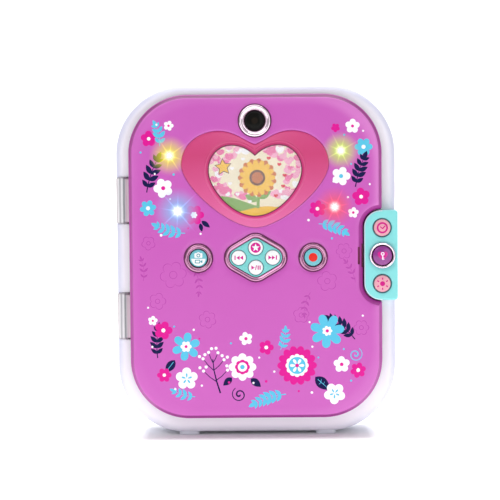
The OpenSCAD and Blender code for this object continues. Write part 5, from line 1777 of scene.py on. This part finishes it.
STEEL = metal("screw_steel", (.62, .62, .64), .25, .25)
NICKEL = metal("contact_nickel", (.66, .65, .62), .2, .2)
BOLT = metal("bolt_steel", (.5, .5, .52), .28, .35)
BOARD = board_mat()
SILICONE = plastic("silicone_clear", srgb(222, 224, 232), .5, 0, .03, .2, 1500)
dress({
    "case_screws": STEEL, "board_screws": STEEL, "cover_screws": STEEL, "door_screw": STEEL,
    "main_board": BOARD, "led_strips": BOARD, "lock_board": BOARD, "side_board": BOARD,
    "lcd_flex": plastic("flex_amber", srgb(206, 140, 60), .38, .1, .08, .1, 900),
    "button_pad": SILICONE, "button_membrane": SILICONE,
    "camera_module": plastic("camera_black", (.015, .015, .017), .3, .3, .15),
    "microphone": metal("mic_can", (.55, .55, .57), .3, .2),
    "speaker": plastic("speaker_cone", (.03, .03, .032), .7, 0, .15, .4, 900),
    "batteries": cell_mat(), "battery_contacts": NICKEL,
    "lock_solenoid": metal("coil_copper", (.62, .32, .16), .32, .4, .12),
    "latch_bolt": BOLT, "latch_strike": BOLT,
    "cover_liner": plastic("liner_pink", srgb(226, 150, 206), .4, .1, .02, .12, 1600),
})

# ------------------------------------------------------------------ floor, light, camera


def make_stage():
    n = 24
    pts, faces = [], []
    prof = [(-1.6, 0.0), (0.5, 0.0)] + [(0.5 + .5 * math.sin(a), .5 * (1 - math.cos(a))) for a in np.radians(np.linspace(6, 90, 14))] + [(1.0, 2.2)]
    for x in (-2.2, 2.2):
        pts += [(x, y, z) for y, z in prof]
    k = len(prof)
    faces = [(i, i + 1, k + i + 1, k + i) for i in range(k - 1)]
    me = bpy.data.meshes.new("backdrop")
    me.from_pydata(pts, [], faces)
    o = bpy.data.objects.new("backdrop", me)
    bpy.context.scene.collection.objects.link(o)
    me.polygons.foreach_set("use_smooth", [True] * len(me.polygons))
    m, nt, p = new_mat("backdrop_white")
    vec = coords(nt)
    nt.links.new(ramp(nt, noise(nt, vec, 2, 2), [(.3, (.9, .9, .905)), (.7, (.92, .92, .922))]), p.inputs["Base Color"])
    p.inputs["Roughness"].default_value = .9
    p.inputs["Specular IOR Level"].default_value = .1
    # painted light on the floor: a glow strongest a short way out from the object and fading further off, none under
    # the object and close to it
    sep = nt.nodes.new("ShaderNodeSeparateXYZ")
    nt.links.new(vec, sep.inputs[0])
    ex = maths(nt, "MAXIMUM", maths(nt, "SUBTRACT", maths(nt, "ABSOLUTE", sep.outputs[0]), .058), 0.0)
    ey = maths(nt, "MAXIMUM", maths(nt, "SUBTRACT", maths(nt, "ABSOLUTE", sep.outputs[1]), .018), 0.0)
    far = span(nt, maths(nt, "SQRT", maths(nt, "ADD", maths(nt, "MULTIPLY", ex, ex), maths(nt, "MULTIPLY", ey, ey))), 0, .4, 0, 1)
    nt.links.new(ramp(nt, far, [(0, (.0, .0, .0)), (.004, (.02, .02, .02)), (.01, (.16, .16, .16)), (.02, (.5, .5, .5)), (.03, (.82, .82, .82)), (.05, (.86, .86, .86)), (.18, (.6, .6, .6)), (.7, (.3, .3, .3)), (1, (.28, .28, .28))]),
                 p.inputs["Emission Color"])
    p.inputs["Emission Strength"].default_value = 1.0
    me.materials.append(m)


make_stage()


def area_light(name, loc, target, size, power, col=(1, 1, 1), size_y=None):
    d = bpy.data.lights.new(name, "AREA")
    d.shape = "RECTANGLE"
    d.size = size
    d.size_y = size_y or size
    d.energy = power
    d.color = col
    o = bpy.data.objects.new(name, d)
    bpy.context.scene.collection.objects.link(o)
    o.location = loc
    o.rotation_euler = (Vector(target) - Vector(loc)).to_track_quat("-Z", "Y").to_euler()
    return o


area_light("key", (-.75, -1.0, 1.15), (0, 0, .1), .8, 4.0)
area_light("fill", (.7, -1.2, .3), (0, 0, .06), .8, 2.0)
area_light("top", (0, .1, 1.4), (0, .1, 0), 1.4, 15)
area_light("back", (0, 1.0, .8), (0, .3, 0), 1.2, 3)

w = bpy.data.worlds.new("studio")
w.use_nodes = True
bg = w.node_tree.nodes["Background"]
bg.inputs["Color"].default_value = (1, 1, 1, 1)
bg.inputs["Strength"].default_value = .46
bpy.context.scene.world = w
bpy.context.scene.view_settings.view_transform = "Standard"

# camera: the photograph's frame is 500 x 500
CAM_DIST, CAM_AZ, CAM_EL, CAM_ROLL, HALF = .74, .2, 2.9, .5, 10.31
AIM = Vector((-.0038, -.0115, .1008))
az, el = math.radians(CAM_AZ), math.radians(CAM_EL)
off = Vector((math.sin(az) * math.cos(el), -math.cos(az) * math.cos(el), math.sin(el))) * CAM_DIST
cam_data = bpy.data.cameras.new("camera")
cam_data.sensor_width = 36
cam_data.sensor_height = 36
cam_data.sensor_fit = "HORIZONTAL"
cam_data.lens = 18 / math.tan(math.radians(HALF))
cam_data.clip_start = .01
cam_data.clip_end = 20
cam = bpy.data.objects.new("camera", cam_data)
bpy.context.scene.collection.objects.link(cam)
cam.location = AIM + off
q = (-off).to_track_quat("-Z", "Y")
cam.rotation_mode = "QUATERNION"
cam.rotation_quaternion = q @ Matrix.Rotation(math.radians(-CAM_ROLL), 3, "Z").to_quaternion()
bpy.context.scene.camera = cam
